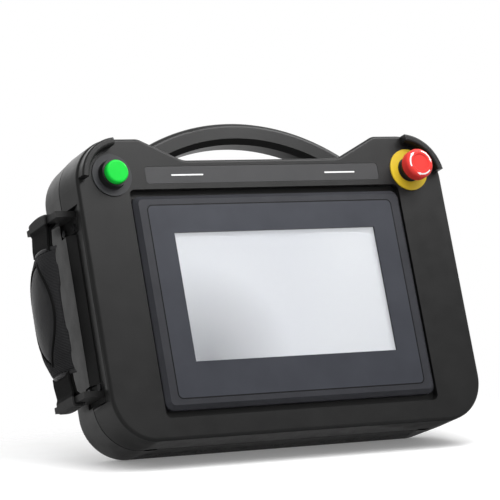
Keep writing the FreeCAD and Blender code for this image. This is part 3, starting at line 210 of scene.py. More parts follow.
def floorFinish(name, fades):
    finish = bpy.data.materials.new(name)
    finish.use_nodes = True
    tree = finish.node_tree
    tree.nodes.clear()
    matt = tree.nodes.new("ShaderNodeBsdfDiffuse")
    matt.inputs["Color"].default_value = studio["floorColour"]
    glow = tree.nodes.new("ShaderNodeEmission")
    glow.inputs["Strength"].default_value = studio["floorLift"]
    lifted = tree.nodes.new("ShaderNodeAddShader")
    tree.links.new(matt.outputs[0], lifted.inputs[0])
    tree.links.new(glow.outputs[0], lifted.inputs[1])
    dim = tree.nodes.new("ShaderNodeBsdfDiffuse")
    dim.inputs["Color"].default_value = studio["floorUnseen"]
    surface = mixShaders(tree, whiteRays(tree), dim.outputs[0], lifted.outputs[0])
    # clear from below, and behind the panel where it fades
    hidden = tree.nodes.new("ShaderNodeNewGeometry").outputs["Backfacing"]
    if fades:
        rearward = splitAxes(tree, tree.nodes.new("ShaderNodeTexCoord").outputs["Object"])["Y"]
        start, end = (studio["leanTouch"][0] + distance for distance in studio["leanFade"])
        hidden = mathStep(tree, "MAXIMUM", hidden, ranged(tree, rearward, 0.0, 1.0, start, end))
    clear = tree.nodes.new("ShaderNodeBsdfTransparent")
    out = tree.nodes.new("ShaderNodeOutputMaterial")
    tree.links.new(mixShaders(tree, hidden, surface, clear.outputs[0]), out.inputs["Surface"])
    return finish


def layFloor(name, front, rear, fades=False):
    reach = studio["floorReach"]
    mesh = bpy.data.meshes.new(name)
    mesh.from_pydata([(-reach, *front), (reach, *front), (reach, *rear), (-reach, *rear)], [], [(0, 1, 2, 3)])
    mesh.materials.append(floorFinish(name + "Finish", fades))
    floor = bpy.data.objects.new(name, mesh)
    scene.collection.objects.link(floor)
    return floor


def layFloors():
    reach = studio["floorReach"]
    level = layFloor("levelFloor", (-reach, 0), (reach, 0))
    level.visible_shadow = False
    line, rise = studio["leanTouch"]
    slope = math.tan(math.radians(studio["leanAngle"]))
    front, rear = ((y, rise + slope * (y - line)) for y in (-reach, line + studio["leanBehind"]))
    layFloor("leanFloor", front, rear, fades=True)


makeSky()
hangLamps()
layFloors()
print("studio lit")


# finishes: every one reads the position in the part's own frame
def newFinish(name):
    finish = bpy.data.materials.new(name)
    finish.use_nodes = True
    tree = finish.node_tree
    place = tree.nodes.new("ShaderNodeTexCoord").outputs["Object"]
    return finish, tree, tree.nodes["Principled BSDF"], place


def noiseField(tree, place, scale, detail=3.0, rough=0.55, stretch=None):
    if stretch:
        mapping = tree.nodes.new("ShaderNodeMapping")
        mapping.inputs["Scale"].default_value = stretch
        tree.links.new(place, mapping.inputs["Vector"])
        place = mapping.outputs[0]
    field = tree.nodes.new("ShaderNodeTexNoise")
    field.inputs["Scale"].default_value = scale
    field.inputs["Detail"].default_value = detail
    field.inputs["Roughness"].default_value = rough
    tree.links.new(place, field.inputs["Vector"])
    return field.outputs["Fac"]


def waveField(tree, place, axis, scale, look):
    wave = tree.nodes.new("ShaderNodeTexWave")
    wave.bands_direction = axis
    wave.inputs["Scale"].default_value = scale
    wave.inputs["Distortion"].default_value = look["distortion"]
    wave.inputs["Detail Scale"].default_value = look["detailScale"]
    tree.links.new(place, wave.inputs["Vector"])
    return wave.outputs["Fac"]


def colourRamp(tree, field, stops):
    ramp = tree.nodes.new("ShaderNodeValToRGB")
    elements = ramp.color_ramp.elements
    while len(elements) < len(stops):
        elements.new(0.5)
    for element, (position, colour) in zip(elements, stops):
        element.position = position
        element.color = (*colour, 1)
    tree.links.new(field, ramp.inputs[0])
    return ramp.outputs[0]


def scaled(colour, factor):
    return tuple(channel * factor for channel in colour)


# one colour from a darker to a lighter share of itself
def shaded(tree, field, colour, tones, start=noiseLow, end=noiseHigh):
    dark, light = (scaled(colour, tone) for tone in tones)
    return colourRamp(tree, field, [(start, dark), (end, light)])


def mixColours(tree, share, first, second):
    mix = tree.nodes.new("ShaderNodeMix")
    mix.data_type = "RGBA"
    tree.links.new(share, mix.inputs["Factor"])
    tree.links.new(first, mix.inputs["A"])
    if isinstance(second, bpy.types.NodeSocket):
        tree.links.new(second, mix.inputs["B"])
    else:
        mix.inputs["B"].default_value = (*second, 1)
    return mix.outputs["Result"]


def addBump(tree, field, depth, strength, under=None):
    bump = tree.nodes.new("ShaderNodeBump")
    bump.inputs["Strength"].default_value = strength
    bump.inputs["Distance"].default_value = depth
    tree.links.new(field, bump.inputs["Height"])
    if under is not None:
        tree.links.new(under, bump.inputs["Normal"])
    return bump.outputs["Normal"]


# moulded plastics: cloudy tone, fine eroded grain, uneven sheen
mouldTexture = {"cloud": 38.0, "sheen": 95.0, "grainStrength": 0.5}
mouldings = {
    "case_plastic": {"colour": (0.010, 0.010, 0.010), "spread": 0.16, "rough": (0.36, 0.44), "shine": 0.13,
                     "grain": 2600, "depth": 0.05 * mm},
    "handle_plastic": {"colour": (0.020, 0.020, 0.020), "spread": 0.10, "rough": (0.29, 0.35), "shine": 0.11,
                       "grain": 2600, "depth": 0.01 * mm},
    "anchor_plastic": {"colour": (0.017, 0.017, 0.017), "spread": 0.18, "rough": (0.40, 0.48), "shine": 0.1,
                       "grain": 2200, "depth": 0.05 * mm},
    "bezel_plastic": {"colour": (0.034, 0.035, 0.041), "spread": 0.12, "rough": (0.36, 0.44), "shine": 0.1,
                      "grain": 3000, "depth": 0.03 * mm},
    "unit_plastic": {"colour": (0.060, 0.060, 0.065), "spread": 0.15, "rough": (0.50, 0.60), "shine": 0.3,
                     "grain": 2000, "depth": 0.05 * mm},
    "legend_black": {"colour": (0.040, 0.041, 0.044), "spread": 0.12, "rough": (0.34, 0.42), "shine": 0.1,
                     "grain": 3200, "depth": 0.02 * mm},
    "button_black": {"colour": (0.012, 0.012, 0.012), "spread": 0.15, "rough": (0.42, 0.52), "shine": 0.2,
                     "grain": 2400, "depth": 0.03 * mm},
    "button_green": {"colour": (0.012, 0.720, 0.062), "spread": 0.06, "rough": (0.24, 0.30), "shine": 0.07,
                     "grain": 3000, "depth": 0.02 * mm},
    "button_red": {"colour": (0.800, 0.052, 0.044), "spread": 0.06, "rough": (0.26, 0.32), "shine": 0.08,
                   "grain": 3000, "depth": 0.02 * mm},
    "legend_yellow": {"colour": (0.740, 0.520, 0.034), "spread": 0.06, "rough": (0.30, 0.38), "shine": 0.1,
                      "grain": 3000, "depth": 0.02 * mm},
    "block_plastic": {"colour": (0.420, 0.420, 0.400), "spread": 0.08, "rough": (0.46, 0.56), "shine": 0.3,
                      "grain": 2400, "depth": 0.04 * mm},
    "gland_plastic": {"colour": (0.030, 0.030, 0.031), "spread": 0.15, "rough": (0.44, 0.54), "shine": 0.3,
                      "grain": 2600, "depth": 0.04 * mm},
    "label_film": {"colour": (0.044, 0.044, 0.046), "spread": 0.08, "rough": (0.38, 0.44), "shine": 0.12,
                   "grain": 4200, "depth": 0.012 * mm},
    "piping": {"colour": (0.004, 0.004, 0.004), "spread": 0.20, "rough": (0.55, 0.70), "shine": 0.05,
               "grain": 1800, "depth": 0.03 * mm},
    "seal_rubber": {"colour": (0.012, 0.012, 0.012), "spread": 0.20, "rough": (0.62, 0.76), "shine": 0.1,
                    "grain": 1800, "depth": 0.06 * mm},
}


def mouldedFinish(name, look):
    finish, tree, shader, place = newFinish(name)
    cloud = noiseField(tree, place, mouldTexture["cloud"], detail=4.0)
    tone = shaded(tree, cloud, look["colour"], (1 - look["spread"], 1 + look["spread"]))
    tree.links.new(tone, shader.inputs["Base Color"])
    sheen = noiseField(tree, place, mouldTexture["sheen"])
    tree.links.new(ranged(tree, sheen, *look["rough"]), shader.inputs["Roughness"])
    grain = noiseField(tree, place, look["grain"], detail=2.0, rough=0.6)
    tree.links.new(addBump(tree, grain, look["depth"], mouldTexture["grainStrength"]), shader.inputs["Normal"])
    shader.inputs["Specular IOR Level"].default_value = look["shine"]
    return finish


# film over the display: satin print with a dark line round its border
filmLook = {
    "colour": (0.044, 0.047, 0.058),
    "tones": (0.93, 1.07),
    "line": (0.003, 0.003, 0.004),
    "lineWidth": 0.9 * mm,
    "lineFull": 0.7,                # share of that width over which the line is at its darkest
    "corner": 4.0 * mm,
    "rough": (0.34, 0.40),
    "shine": 0.11,
    "cloud": 38.0,
    "grain": 4200,
    "depth": 0.012 * mm,
}


def borderDistance(tree, place, node, corner):
    low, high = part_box(node)
    axes = splitAxes(tree, place)
    join = tree.nodes.new("ShaderNodeCombineXYZ")
    for axis, start, end in (("X", low.x, high.x), ("Z", low.z, high.z)):
        away = mathStep(tree, "ABSOLUTE", mathStep(tree, "SUBTRACT", axes[axis], (start + end) / 2))
        past = mathStep(tree, "SUBTRACT", away, (end - start) / 2 - corner)
        tree.links.new(mathStep(tree, "MAXIMUM", past), join.inputs[axis])
    distance = tree.nodes.new("ShaderNodeVectorMath")
    distance.operation = "LENGTH"
    tree.links.new(join.outputs[0], distance.inputs[0])
    return distance.outputs["Value"]


def filmFinish(name):
    finish, tree, shader, place = newFinish(name)
    cloud = noiseField(tree, place, filmLook["cloud"], detail=4.0)
    tone = shaded(tree, cloud, filmLook["colour"], filmLook["tones"])
    corner, width = filmLook["corner"], filmLook["lineWidth"]
    edge = ranged(tree, borderDistance(tree, place, "overlay_film", corner), 0.0, 1.0,
                  corner - width, corner - filmLook["lineFull"] * width)
    tree.links.new(mixColours(tree, edge, tone, filmLook["line"]), shader.inputs["Base Color"])
    tree.links.new(ranged(tree, cloud, *filmLook["rough"]), shader.inputs["Roughness"])
    grain = noiseField(tree, place, filmLook["grain"], detail=2.0, rough=0.6)
    tree.links.new(addBump(tree, grain, filmLook["depth"], strength=0.5), shader.inputs["Normal"])
    shader.inputs["Specular IOR Level"].default_value = filmLook["shine"]
    return finish


# metals: streaks along the way they were drawn or turned
metalTexture = {"tones": (0.82, 1.12), "depth": 0.03 * mm, "strength": 0.3}
metals = {
    "screw_steel": {"colour": (0.055, 0.055, 0.058), "rough": (0.30, 0.44), "stretch": (1, 12, 1), "scale": 700},
    "spring_steel": {"colour": (0.52, 0.52, 0.53), "rough": (0.22, 0.36), "stretch": (1, 1, 1), "scale": 900},
    "clamp_metal": {"colour": (0.58, 0.58, 0.60), "rough": (0.30, 0.42), "stretch": (1, 1, 14), "scale": 420},
}


def metalFinish(name, look):
    finish, tree, shader, place = newFinish(name)
    streak = noiseField(tree, place, look["scale"], rough=0.6, stretch=look["stretch"])
    tone = shaded(tree, streak, look["colour"], metalTexture["tones"])
    tree.links.new(tone, shader.inputs["Base Color"])
    tree.links.new(ranged(tree, streak, *look["rough"]), shader.inputs["Roughness"])
    bump = addBump(tree, streak, metalTexture["depth"], metalTexture["strength"])
    tree.links.new(bump, shader.inputs["Normal"])
    shader.inputs["Metallic"].default_value = 1.0
    return finish


# display: silver-grey panel behind clear glass; its glow is painted reflection, fading to painted shade towards
# its lower left corner
display = {
    "silver": [(0.30, (0.54, 0.55, 0.58)), (0.55, (0.58, 0.59, 0.61)), (0.75, (0.62, 0.625, 0.64))],
    "unlit": 0.38,                  # share of that tone it shows without the painted glow
    "rough": (0.40, 0.50),
    "cloud": 9.0,
    "haze": 60.0,
    "paintedShadeCorner": (-0.066, -0.02, 0.052),
    "paintedShadeReach": 0.065,
    "glow": (0.75, 0.06),           # strength of the painted glow away from the painted-shade corner and in it
    "glassTint": (0.96, 0.97, 0.98, 1),
    "glassRough": (0.03, 0.07),
    "glassSmear": 24.0,
    "glassIndex": 1.46,
}


def panelFinish(name):
    finish, tree, shader, place = newFinish(name)
    cloud = noiseField(tree, place, display["cloud"], detail=2.0, rough=0.4)
    dull = [(stop, scaled(colour, display["unlit"])) for stop, colour in display["silver"]]
    tree.links.new(colourRamp(tree, cloud, dull), shader.inputs["Base Color"])
    # painted reflection: the silver tone is also given out as a glow
    tree.links.new(colourRamp(tree, cloud, display["silver"]), shader.inputs["Emission Color"])
    haze = noiseField(tree, place, display["haze"], detail=2.0)
    tree.links.new(ranged(tree, haze, *display["rough"]), shader.inputs["Roughness"])
    # painted shade: the glow fades towards the lower left corner of the panel
    towards = tree.nodes.new("ShaderNodeMapping")
    towards.vector_type = "TEXTURE"
    towards.inputs["Location"].default_value = display["paintedShadeCorner"]
    towards.inputs["Scale"].default_value = (display["paintedShadeReach"],) * 3
    tree.links.new(place, towards.inputs["Vector"])
    corner = tree.nodes.new("ShaderNodeTexGradient")
    corner.gradient_type = "SPHERICAL"
    tree.links.new(towards.outputs[0], corner.inputs["Vector"])
    glow = ranged(tree, corner.outputs["Fac"], *display["glow"], 0.0, 1.0)
    tree.links.new(glow, shader.inputs["Emission Strength"])
    return finish


def glassFinish(name):
    finish, tree, shader, place = newFinish(name)
    smear = noiseField(tree, place, display["glassSmear"], detail=4.0)
    tree.links.new(ranged(tree, smear, *display["glassRough"]), shader.inputs["Roughness"])
    shader.inputs["Base Color"].default_value = display["glassTint"]
    shader.inputs["Transmission Weight"].default_value = 1.0
    shader.inputs["IOR"].default_value = display["glassIndex"]
    return finish


# bare board: green solder mask over rows of copper tracks
boardLook = {
    "mask": (0.012, 0.110, 0.045),
    "maskTones": (1.0, 1.25),
    "track": (0.030, 0.190, 0.080),
    "trackWidth": 0.03,
    "pitch": 420,
    "depth": 0.04 * mm,
    "rough": (0.30, 0.42),
    "haze": 120.0,
}


def boardFinish(name):
    finish, tree, shader, place = newFinish(name)
    tracks = tree.nodes.new("ShaderNodeTexBrick")
    tracks.inputs["Scale"].default_value = boardLook["pitch"]
    for socket, tone in zip(("Color1", "Color2"), boardLook["maskTones"]):
        tracks.inputs[socket].default_value = (*scaled(boardLook["mask"], tone), 1)
    tracks.inputs["Mortar"].default_value = (*boardLook["track"], 1)
    tracks.inputs["Mortar Size"].default_value = boardLook["trackWidth"]
    turn = tree.nodes.new("ShaderNodeMapping")
    turn.inputs["Rotation"].default_value = (math.radians(90), 0, 0)
    tree.links.new(place, turn.inputs["Vector"])
    tree.links.new(turn.outputs[0], tracks.inputs["Vector"])
    tree.links.new(tracks.outputs["Color"], shader.inputs["Base Color"])
    haze = noiseField(tree, place, boardLook["haze"])
    tree.links.new(ranged(tree, haze, *boardLook["rough"]), shader.inputs["Roughness"])
    bump = addBump(tree, tracks.outputs["Fac"], boardLook["depth"], strength=0.4)
    tree.links.new(bump, shader.inputs["Normal"])
    return finish


# strap: grained synthetic leather, woven nylon webbing with a painted highlight that makes it paler round the
# anchors where its fold is lit, knitted flanks
leatherLook = {
    "colour": (0.017, 0.017, 0.018),
    "tones": (0.75, 1.3),
    "rough": (0.30, 0.42),
    "shine": 0.15,
    "cloud": 70.0,
    "grain": 1100,
    "pebble": 0.35,                 # distance from its edge at which a pebble of the grain is full
    "depth": 0.10 * mm,
    "crease": 240.0,
    "creaseDepth": 0.4 * mm,
}
weaveLook = {
    "colour": (0.007, 0.007, 0.007),
    # colour of the painted highlight on the lit fold round each anchor bar
    "foldHighlight": (0.062, 0.062, 0.062),
    "foldHighlightFrom": (0.0575, 0.0585),   # distances from the strap's middle between which the painted highlight makes it paler
    "middle": 0.09685,
    "tones": (0.5, 1.7),
    "toneEnd": 0.8,
    "rib": 620,
    "distortion": 0.6,
    "detailScale": 2.0,
    "depth": 0.22 * mm,
    "rough": (0.62, 0.80),
    "shine": 0.04,
}
knitLook = {
    "colour": (0.019, 0.019, 0.020),
    "tones": (0.5, 1.6),
    "toneEnd": 0.9,
    "rib": 320,
    "distortion": 1.2,
    "detailScale": 3.0,
    "depth": 0.25 * mm,
    "fuzz": 900.0,
    "fuzzDepth": 0.1 * mm,
    "rough": (0.70, 0.86),
    "shine": 0.08,
}


def leatherFinish(name):
    finish, tree, shader, place = newFinish(name)
    cloud = noiseField(tree, place, leatherLook["cloud"], detail=5.0, rough=0.6)
    tone = shaded(tree, cloud, leatherLook["colour"], leatherLook["tones"])
    tree.links.new(tone, shader.inputs["Base Color"])
    tree.links.new(ranged(tree, cloud, *leatherLook["rough"]), shader.inputs["Roughness"])
    cells = tree.nodes.new("ShaderNodeTexVoronoi")
    cells.feature = "DISTANCE_TO_EDGE"
    cells.inputs["Scale"].default_value = leatherLook["grain"]
    tree.links.new(place, cells.inputs["Vector"])
    pebbles = ranged(tree, cells.outputs["Distance"], 0.0, 1.0, 0.0, leatherLook["pebble"])
    crease = noiseField(tree, place, leatherLook["crease"], detail=4.0)
    under = addBump(tree, crease, leatherLook["creaseDepth"], strength=0.35)
    bump = addBump(tree, pebbles, leatherLook["depth"], strength=0.6, under=under)
    tree.links.new(bump, shader.inputs["Normal"])
    shader.inputs["Specular IOR Level"].default_value = leatherLook["shine"]
    return finish


def weaveFinish(name):
    finish, tree, shader, place = newFinish(name)
    across = waveField(tree, place, "Y", weaveLook["rib"] / 2, weaveLook)
    along = waveField(tree, place, "Z", weaveLook["rib"], weaveLook)
    weave = mathStep(tree, "MULTIPLY", across, along)
    plain, foldHighlight = (shaded(tree, weave, weaveLook[key], weaveLook["tones"], 0.0, weaveLook["toneEnd"])
                   for key in ("colour", "foldHighlight"))
    # painted highlight: paler towards each end of the strap, round the anchor bars, standing in for the lit fold;
    # the legs below keep the darker colour
    away = mathStep(tree, "SUBTRACT", splitAxes(tree, place)["Z"], weaveLook["middle"])
    foldHighlightShare = ranged(tree, mathStep(tree, "ABSOLUTE", away), 0.0, 1.0, *weaveLook["foldHighlightFrom"])
    tree.links.new(mixColours(tree, foldHighlightShare, plain, foldHighlight), shader.inputs["Base Color"])
    tree.links.new(ranged(tree, weave, *weaveLook["rough"], 0.0, 1.0), shader.inputs["Roughness"])
    tree.links.new(addBump(tree, weave, weaveLook["depth"], strength=0.8), shader.inputs["Normal"])
    shader.inputs["Specular IOR Level"].default_value = weaveLook["shine"]
    return finish


def knitFinish(name):
    finish, tree, shader, place = newFinish(name)
    courses = waveField(tree, place, "Z", knitLook["rib"], knitLook)
    tone = shaded(tree, courses, knitLook["colour"], knitLook["tones"], 0.0, knitLook["toneEnd"])
    tree.links.new(tone, shader.inputs["Base Color"])
    fuzz = noiseField(tree, place, knitLook["fuzz"])
    tree.links.new(ranged(tree, fuzz, *knitLook["rough"]), shader.inputs["Roughness"])
    under = addBump(tree, fuzz, knitLook["fuzzDepth"], strength=0.4)
    bump = addBump(tree, courses, knitLook["depth"], strength=0.7, under=under)
    tree.links.new(bump, shader.inputs["Normal"])
    shader.inputs["Specular IOR Level"].default_value = knitLook["shine"]
    return finish


# white print on the label and the stop button
printLook = {"colour": (0.82, 0.82, 0.82), "tones": (0.95, 1.04), "rough": (0.40, 0.50), "cloud": 500.0}


def printFinish(name):
    finish, tree, shader, place = newFinish(name)
    cloud = noiseField(tree, place, printLook["cloud"])
    tone = shaded(tree, cloud, printLook["colour"], printLook["tones"])
    tree.links.new(tone, shader.inputs["Base Color"])
    tree.links.new(ranged(tree, cloud, *printLook["rough"]), shader.inputs["Roughness"])
    return finish


finishes = {slot: mouldedFinish(slot, look) for slot, look in mouldings.items()}
finishes.update({slot: metalFinish(slot, look) for slot, look in metals.items()})
finishes["overlay"] = filmFinish("overlay")
finishes["lcd"] = panelFinish("lcd")
finishes["display_glass"] = glassFinish("display_glass")
finishes["board"] = boardFinish("board")
finishes["strap_fabric"] = leatherFinish("strap_fabric")
finishes["webbing"] = weaveFinish("webbing")
sideKnit = knitFinish("side_knit")
whitePrint = printFinish("white_print")

for part in frame["record"]["subparts"]:
    mesh = nodes[part["node"]].data
    mesh.materials.clear()
    mesh.materials.append(finishes[part["material_slot"]])
print("finishes set:", len(finishes))


def addPiece(name, mesh, finish, body):
    piece = bpy.data.objects.new(name, mesh)
    scene.collection.objects.link(piece)
    mesh.materials.clear()
    mesh.materials.append(finish)
    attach(piece, body)
    return piece


def shadeFaces(mesh, smooth):
    for face in mesh.polygons:
        face.use_smooth = smooth


def meshFrom(name, points, faces, smooth=True):
    mesh = bpy.data.meshes.new(name)
    mesh.from_pydata([tuple(point) for point in points], [], faces)
    shape = bmesh.new()
    shape.from_mesh(mesh)
    bmesh.ops.recalc_face_normals(shape, faces=shape.faces)
    shape.to_mesh(mesh)
    shape.free()
    shadeFaces(mesh, smooth)
    return mesh


# faces of a closed tube of point rings, with a cap at each end
def ringFaces(rings, around):
    faces = []
    for ring in range(rings - 1):
        for step in range(around):
            a, b = ring * around + step, ring * around + (step + 1) % around
            faces.append((a, b, b + around, a + around))
    faces.append(tuple(range(around)))
    faces.append(tuple((rings - 1) * around + step for step in range(around)))
    return faces


def joinMeshes(name, meshes):
    shape = bmesh.new()
    for mesh in meshes:
        shape.from_mesh(mesh)
        bpy.data.meshes.remove(mesh)
    whole = bpy.data.meshes.new(name)
    shape.to_mesh(whole)
    shape.free()
    return whole


def treeOf(mesh):
    shape = bmesh.new()
    shape.from_mesh(mesh)
    found = BVHTree.FromBMesh(shape)
    shape.free()
    return found


def applyLast(piece):
    bpy.context.view_layer.objects.active = piece
    bpy.ops.object.modifier_apply(modifier=piece.modifiers[-1].name)


def smoothStep(value):
    value = np.clip(value, 0.0, 1.0)
    return value * value * (3 - 2 * value)


# padded sleeve of the hand strap: a crowned, bowed closed form, thin and sewn flat at both ends
padLook = {
    "thickness": 8.0 * mm,
    "crown": 28.0 * mm,             # radius of the middle line of its section
    "bow": 5.8 * mm,
    "taper": 2.2 * mm,              # how far each side draws in towards the ends
    "hem": 5.6 * mm,                # sewn flat length at each end
    "hemThickness": 5.0 * mm,
    "hemTuck": 1.0 * mm,            # how far the flat ends lie in towards the webbing
    "swell": 14.0 * mm,             # length over which it grows to full thickness
    "corner": 5.0 * mm,
    "square": 2.8,                  # 2 is an oval section, larger is squarer
    "shrink": 0.8 * mm,             # room left for the stuffing to swell into
    "rings": 60,
    "around": 56,
    "fill": 0.7,
    # stuffing
    "voxel": 2.8 * mm,
    "holdReach": 0.6,               # share of a voxel within which points are held at the seam
    "pressure": 4.0,
    "frames": 20,
    "cap": 5.0 * mm,
    "settle": 6,                    # rounds of smoothing that take the small puckers out
    "settleBy": 0.5,
    "finer": 2,                     # rounds of subdivision before it is sewn
    "outerFrom": -0.3,              # normals that point further left than this belong to the outer side
    "outerFade": 0.5,
    # smooth panel, piping and ribs
    "panelHalfLength": 34.0 * mm,
    "panelHalfWidth": 14.7 * mm,
    "seamPoints": 180,
    "seamDepth": 0.9 * mm,
    "seamWidth": 1.5 * mm,
    "hemDepth": 0.6 * mm,
    "hemWidth": 0.9 * mm,
    "ribPitch": 1.7 * mm,
    "ribDepth": 0.07 * mm,
    "ribFade": 6.0 * mm,            # length from the hem over which the ribs come in
    "ribWander": ((0.9, 210, 0), (0.6, 97, 130)),   # size, and waves across and along
    "pipeRadius": 0.95 * mm,
    "pipeLift": 0.15 * mm,
    # stitches at the hems
    "stitchLength": 2.0 * mm,
    "stitchPitch": 3.0 * mm,
    "stitchRadius": 0.25 * mm,
    "stitchMargin": 4.0 * mm,
    "stitchRise": ((-0.5, -0.25 * mm), (-0.25, 0.12 * mm), (0, 0.2 * mm), (0.25, 0.12 * mm), (0.5, -0.25 * mm)),
}


def padFrame():
    low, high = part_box("strap_pad")
    return {
        "low": low.z, "middle": (low.z + high.z) / 2, "halfLength": (high.z - low.z) / 2,
        "centreY": (low.y + high.y) / 2, "halfWidth": (high.y - low.y) / 2, "crest": low.x,
    }


def padSection(shape, height):
    along = (height - shape["middle"]) / shape["halfLength"]
    fromEnd = shape["halfLength"] * (1 - abs(along))
    full = smoothStep((fromEnd - padLook["hem"]) / padLook["swell"])
    thickness = padLook["hemThickness"] + (padLook["thickness"] - padLook["hemThickness"]) * full
    bow = padLook["bow"] * along ** 2 + padLook["hemTuck"] * (1 - full)
    centreX = shape["crest"] + padLook["thickness"] / 2 + bow
    corner = padLook["corner"]
    cut = corner - math.sqrt(corner ** 2 - max(0.0, corner - fromEnd) ** 2)
    halfWide = shape["halfWidth"] - padLook["shrink"] - padLook["taper"] * along ** 2 - cut
    return centreX, thickness / 2 - padLook["shrink"], halfWide


def padMesh(shape):
    points = []
    rings, around = padLook["rings"], padLook["around"]
    power, crown = 2 / padLook["square"], padLook["crown"]
    for ring in range(rings + 1):
        height = shape["low"] + padLook["shrink"] + 2 * (shape["halfLength"] - padLook["shrink"]) * ring / rings
        centreX, halfThick, halfWide = padSection(shape, height)
        reach = math.asin(halfWide / crown)
        for step in range(around):
            angle = 2 * math.pi * step / around
            c, s = math.cos(angle), math.sin(angle)
            turn = reach * math.copysign(abs(c) ** power, c)
            radius = crown - halfThick * math.copysign(abs(s) ** power, s)
            x, y = centreX + crown - radius * math.cos(turn), shape["centreY"] + radius * math.sin(turn)
            points.append((x, y, height))
    return meshFrom("padBlank", points, ringFaces(rings + 1, around))


def panelRadius():
    length, width = padLook["panelHalfLength"], padLook["panelHalfWidth"]
    return (length ** 2 + width ** 2) / (2 * width)


# lens-shaped seam round the smooth panel, as two arcs across and along the pad
def panelSeam(shape):
    count, radius = padLook["seamPoints"], panelRadius()
    sweep = math.asin(padLook["panelHalfLength"] / radius)
    points = []
    for side in (-1, 1):
        for step in range(count // 2):
            angle = sweep * (1 - 2 * step / (count / 2)) * -side
            across = side * (radius * math.cos(angle) - radius + padLook["panelHalfWidth"])
            points.append((shape["centreY"] + across, shape["middle"] + radius * math.sin(angle)))
    return np.array(points)


def nearest(points, line, lots=6):
    gaps = [np.min(np.hypot(points[:, :1] - part[:, 0], points[:, 1:] - part[:, 1]), axis=1)
            for part in np.array_split(line, lots)]
    return np.min(gaps, axis=0)


def swell(piece, shape, seam):
    remesh = piece.modifiers.new("evenMesh", "REMESH")
    remesh.mode = "VOXEL"
    remesh.voxel_size = padLook["voxel"]
    applyLast(piece)
    start = np.array([vertex.co for vertex in piece.data.vertices])
    outside = np.array([vertex.normal.x < padLook["outerFrom"] for vertex in piece.data.vertices])
    hold = piece.vertex_groups.new(name="sewn")
    onSeam = outside & (nearest(start[:, 1:], seam) < padLook["voxel"] * padLook["holdReach"])
    inHem = np.abs(start[:, 2] - shape["middle"]) > shape["halfLength"] - padLook["hem"]
    hold.add([int(i) for i in np.nonzero(onSeam | inHem)[0]], 1.0, "REPLACE")
    cloth = piece.modifiers.new("stuffing", "CLOTH")
    cloth.settings.vertex_group_mass = "sewn"
    cloth.settings.use_pressure = True
    cloth.settings.uniform_pressure_force = padLook["pressure"]
    cloth.settings.effector_weights.gravity = 0
    cloth.point_cache.frame_start = 1
    cloth.point_cache.frame_end = padLook["frames"]
    for step in range(1, padLook["frames"] + 1):
        scene.frame_set(step)
    applyLast(piece)
    scene.frame_set(1)
    end = np.array([vertex.co for vertex in piece.data.vertices])
    move = end - start
    length = np.linalg.norm(move, axis=1, keepdims=True)
    move *= np.minimum(1.0, padLook["cap"] / np.maximum(length, 1e-9))
    piece.data.vertices.foreach_set("co", (start + move).ravel())
    settle = piece.modifiers.new("settle", "SMOOTH")
    settle.factor = padLook["settleBy"]
    settle.iterations = padLook["settle"]
    applyLast(piece)
    print("pad swelled by up to %.1f mm" % (min(length.max(), padLook["cap"]) / mm))


def sewPad(piece, shape, seam):
    finer = piece.modifiers.new("finer", "SUBSURF")
    finer.levels = padLook["finer"]
    applyLast(piece)
    mesh = piece.data
    points = np.array([vertex.co for vertex in mesh.vertices])
    normals = np.array([vertex.normal for vertex in mesh.vertices])
    y, z = points[:, 1], points[:, 2]
    outside = smoothStep(-normals[:, 0] / padLook["outerFade"])
    gap = nearest(points[:, 1:], seam)
    push = padLook["seamDepth"] * np.exp(-(gap / padLook["seamWidth"]) ** 2) * outside
    fromHem = shape["halfLength"] - np.abs(z - shape["middle"]) - padLook["hem"]
    push += padLook["hemDepth"] * np.exp(-(fromHem / padLook["hemWidth"]) ** 2)
    along = (z - shape["middle"]) / padLook["panelHalfLength"]
    inside = np.abs(y - shape["centreY"]) < padLook["panelHalfWidth"] * np.maximum(0, 1 - along ** 2)
    ribbed = (1 - outside * inside) * smoothStep(fromHem / padLook["ribFade"])
    wander = sum(size * np.sin(y * acrossPad + z * upPad) for size, acrossPad, upPad in padLook["ribWander"])
    push += padLook["ribDepth"] * ribbed * np.sin(z * 2 * math.pi / padLook["ribPitch"] + wander)
    mesh.vertices.foreach_set("co", (points - normals * push[:, None]).ravel())
    mesh.update()
    shadeFaces(mesh, True)


# leather on the panel and the hems, knit on the flanks
def coverPad(mesh, shape):
    mesh.materials.clear()
    mesh.materials.append(finishes["strap_fabric"])
    mesh.materials.append(sideKnit)
    radius = panelRadius()
    for face in mesh.polygons:
        up = face.center.z - shape["middle"]
        across = abs(face.center.y - shape["centreY"])
        inPanel = math.hypot(up, across + radius - padLook["panelHalfWidth"]) < radius
        inHem = abs(up) > shape["halfLength"] - padLook["hem"]
        face.material_index = 0 if inHem or (inPanel and face.normal.x < 0) else 1


def tubeMesh(name, points, radius, closed, sides):
    curve = bpy.data.curves.new(name, "CURVE")
    curve.dimensions = "3D"
    curve.bevel_depth = radius
    curve.bevel_resolution = sides
    curve.use_fill_caps = not closed
    line = curve.splines.new("POLY")
    line.points.add(len(points) - 1)
    for place, point in zip(line.points, points):
        place.co = (*point, 1)
    line.use_cyclic_u = closed
    holder = bpy.data.objects.new(name, curve)
    scene.collection.objects.link(holder)
    mesh = bpy.data.meshes.new_from_object(holder.evaluated_get(bpy.context.evaluated_depsgraph_get()))
    mesh.name = name
    bpy.data.objects.remove(holder)
    bpy.data.curves.remove(curve)
    shadeFaces(mesh, True)
    return mesh


def onOutside(tree, y, z, lift):
    hit, normal, _, _ = tree.ray_cast(Vector((cadBox[0][0] - rayRoom, y, z)), Vector((1, 0, 0)))
    return hit + normal * lift if hit else None


def addPiping(tree, seam):
    line = [onOutside(tree, y, z, padLook["pipeLift"]) for y, z in seam]
    line = [point for point in line if point is not None]
    mesh = tubeMesh("padPiping", line, padLook["pipeRadius"], closed=True, sides=4)
    addPiece("padPiping", mesh, finishes["piping"], "case")


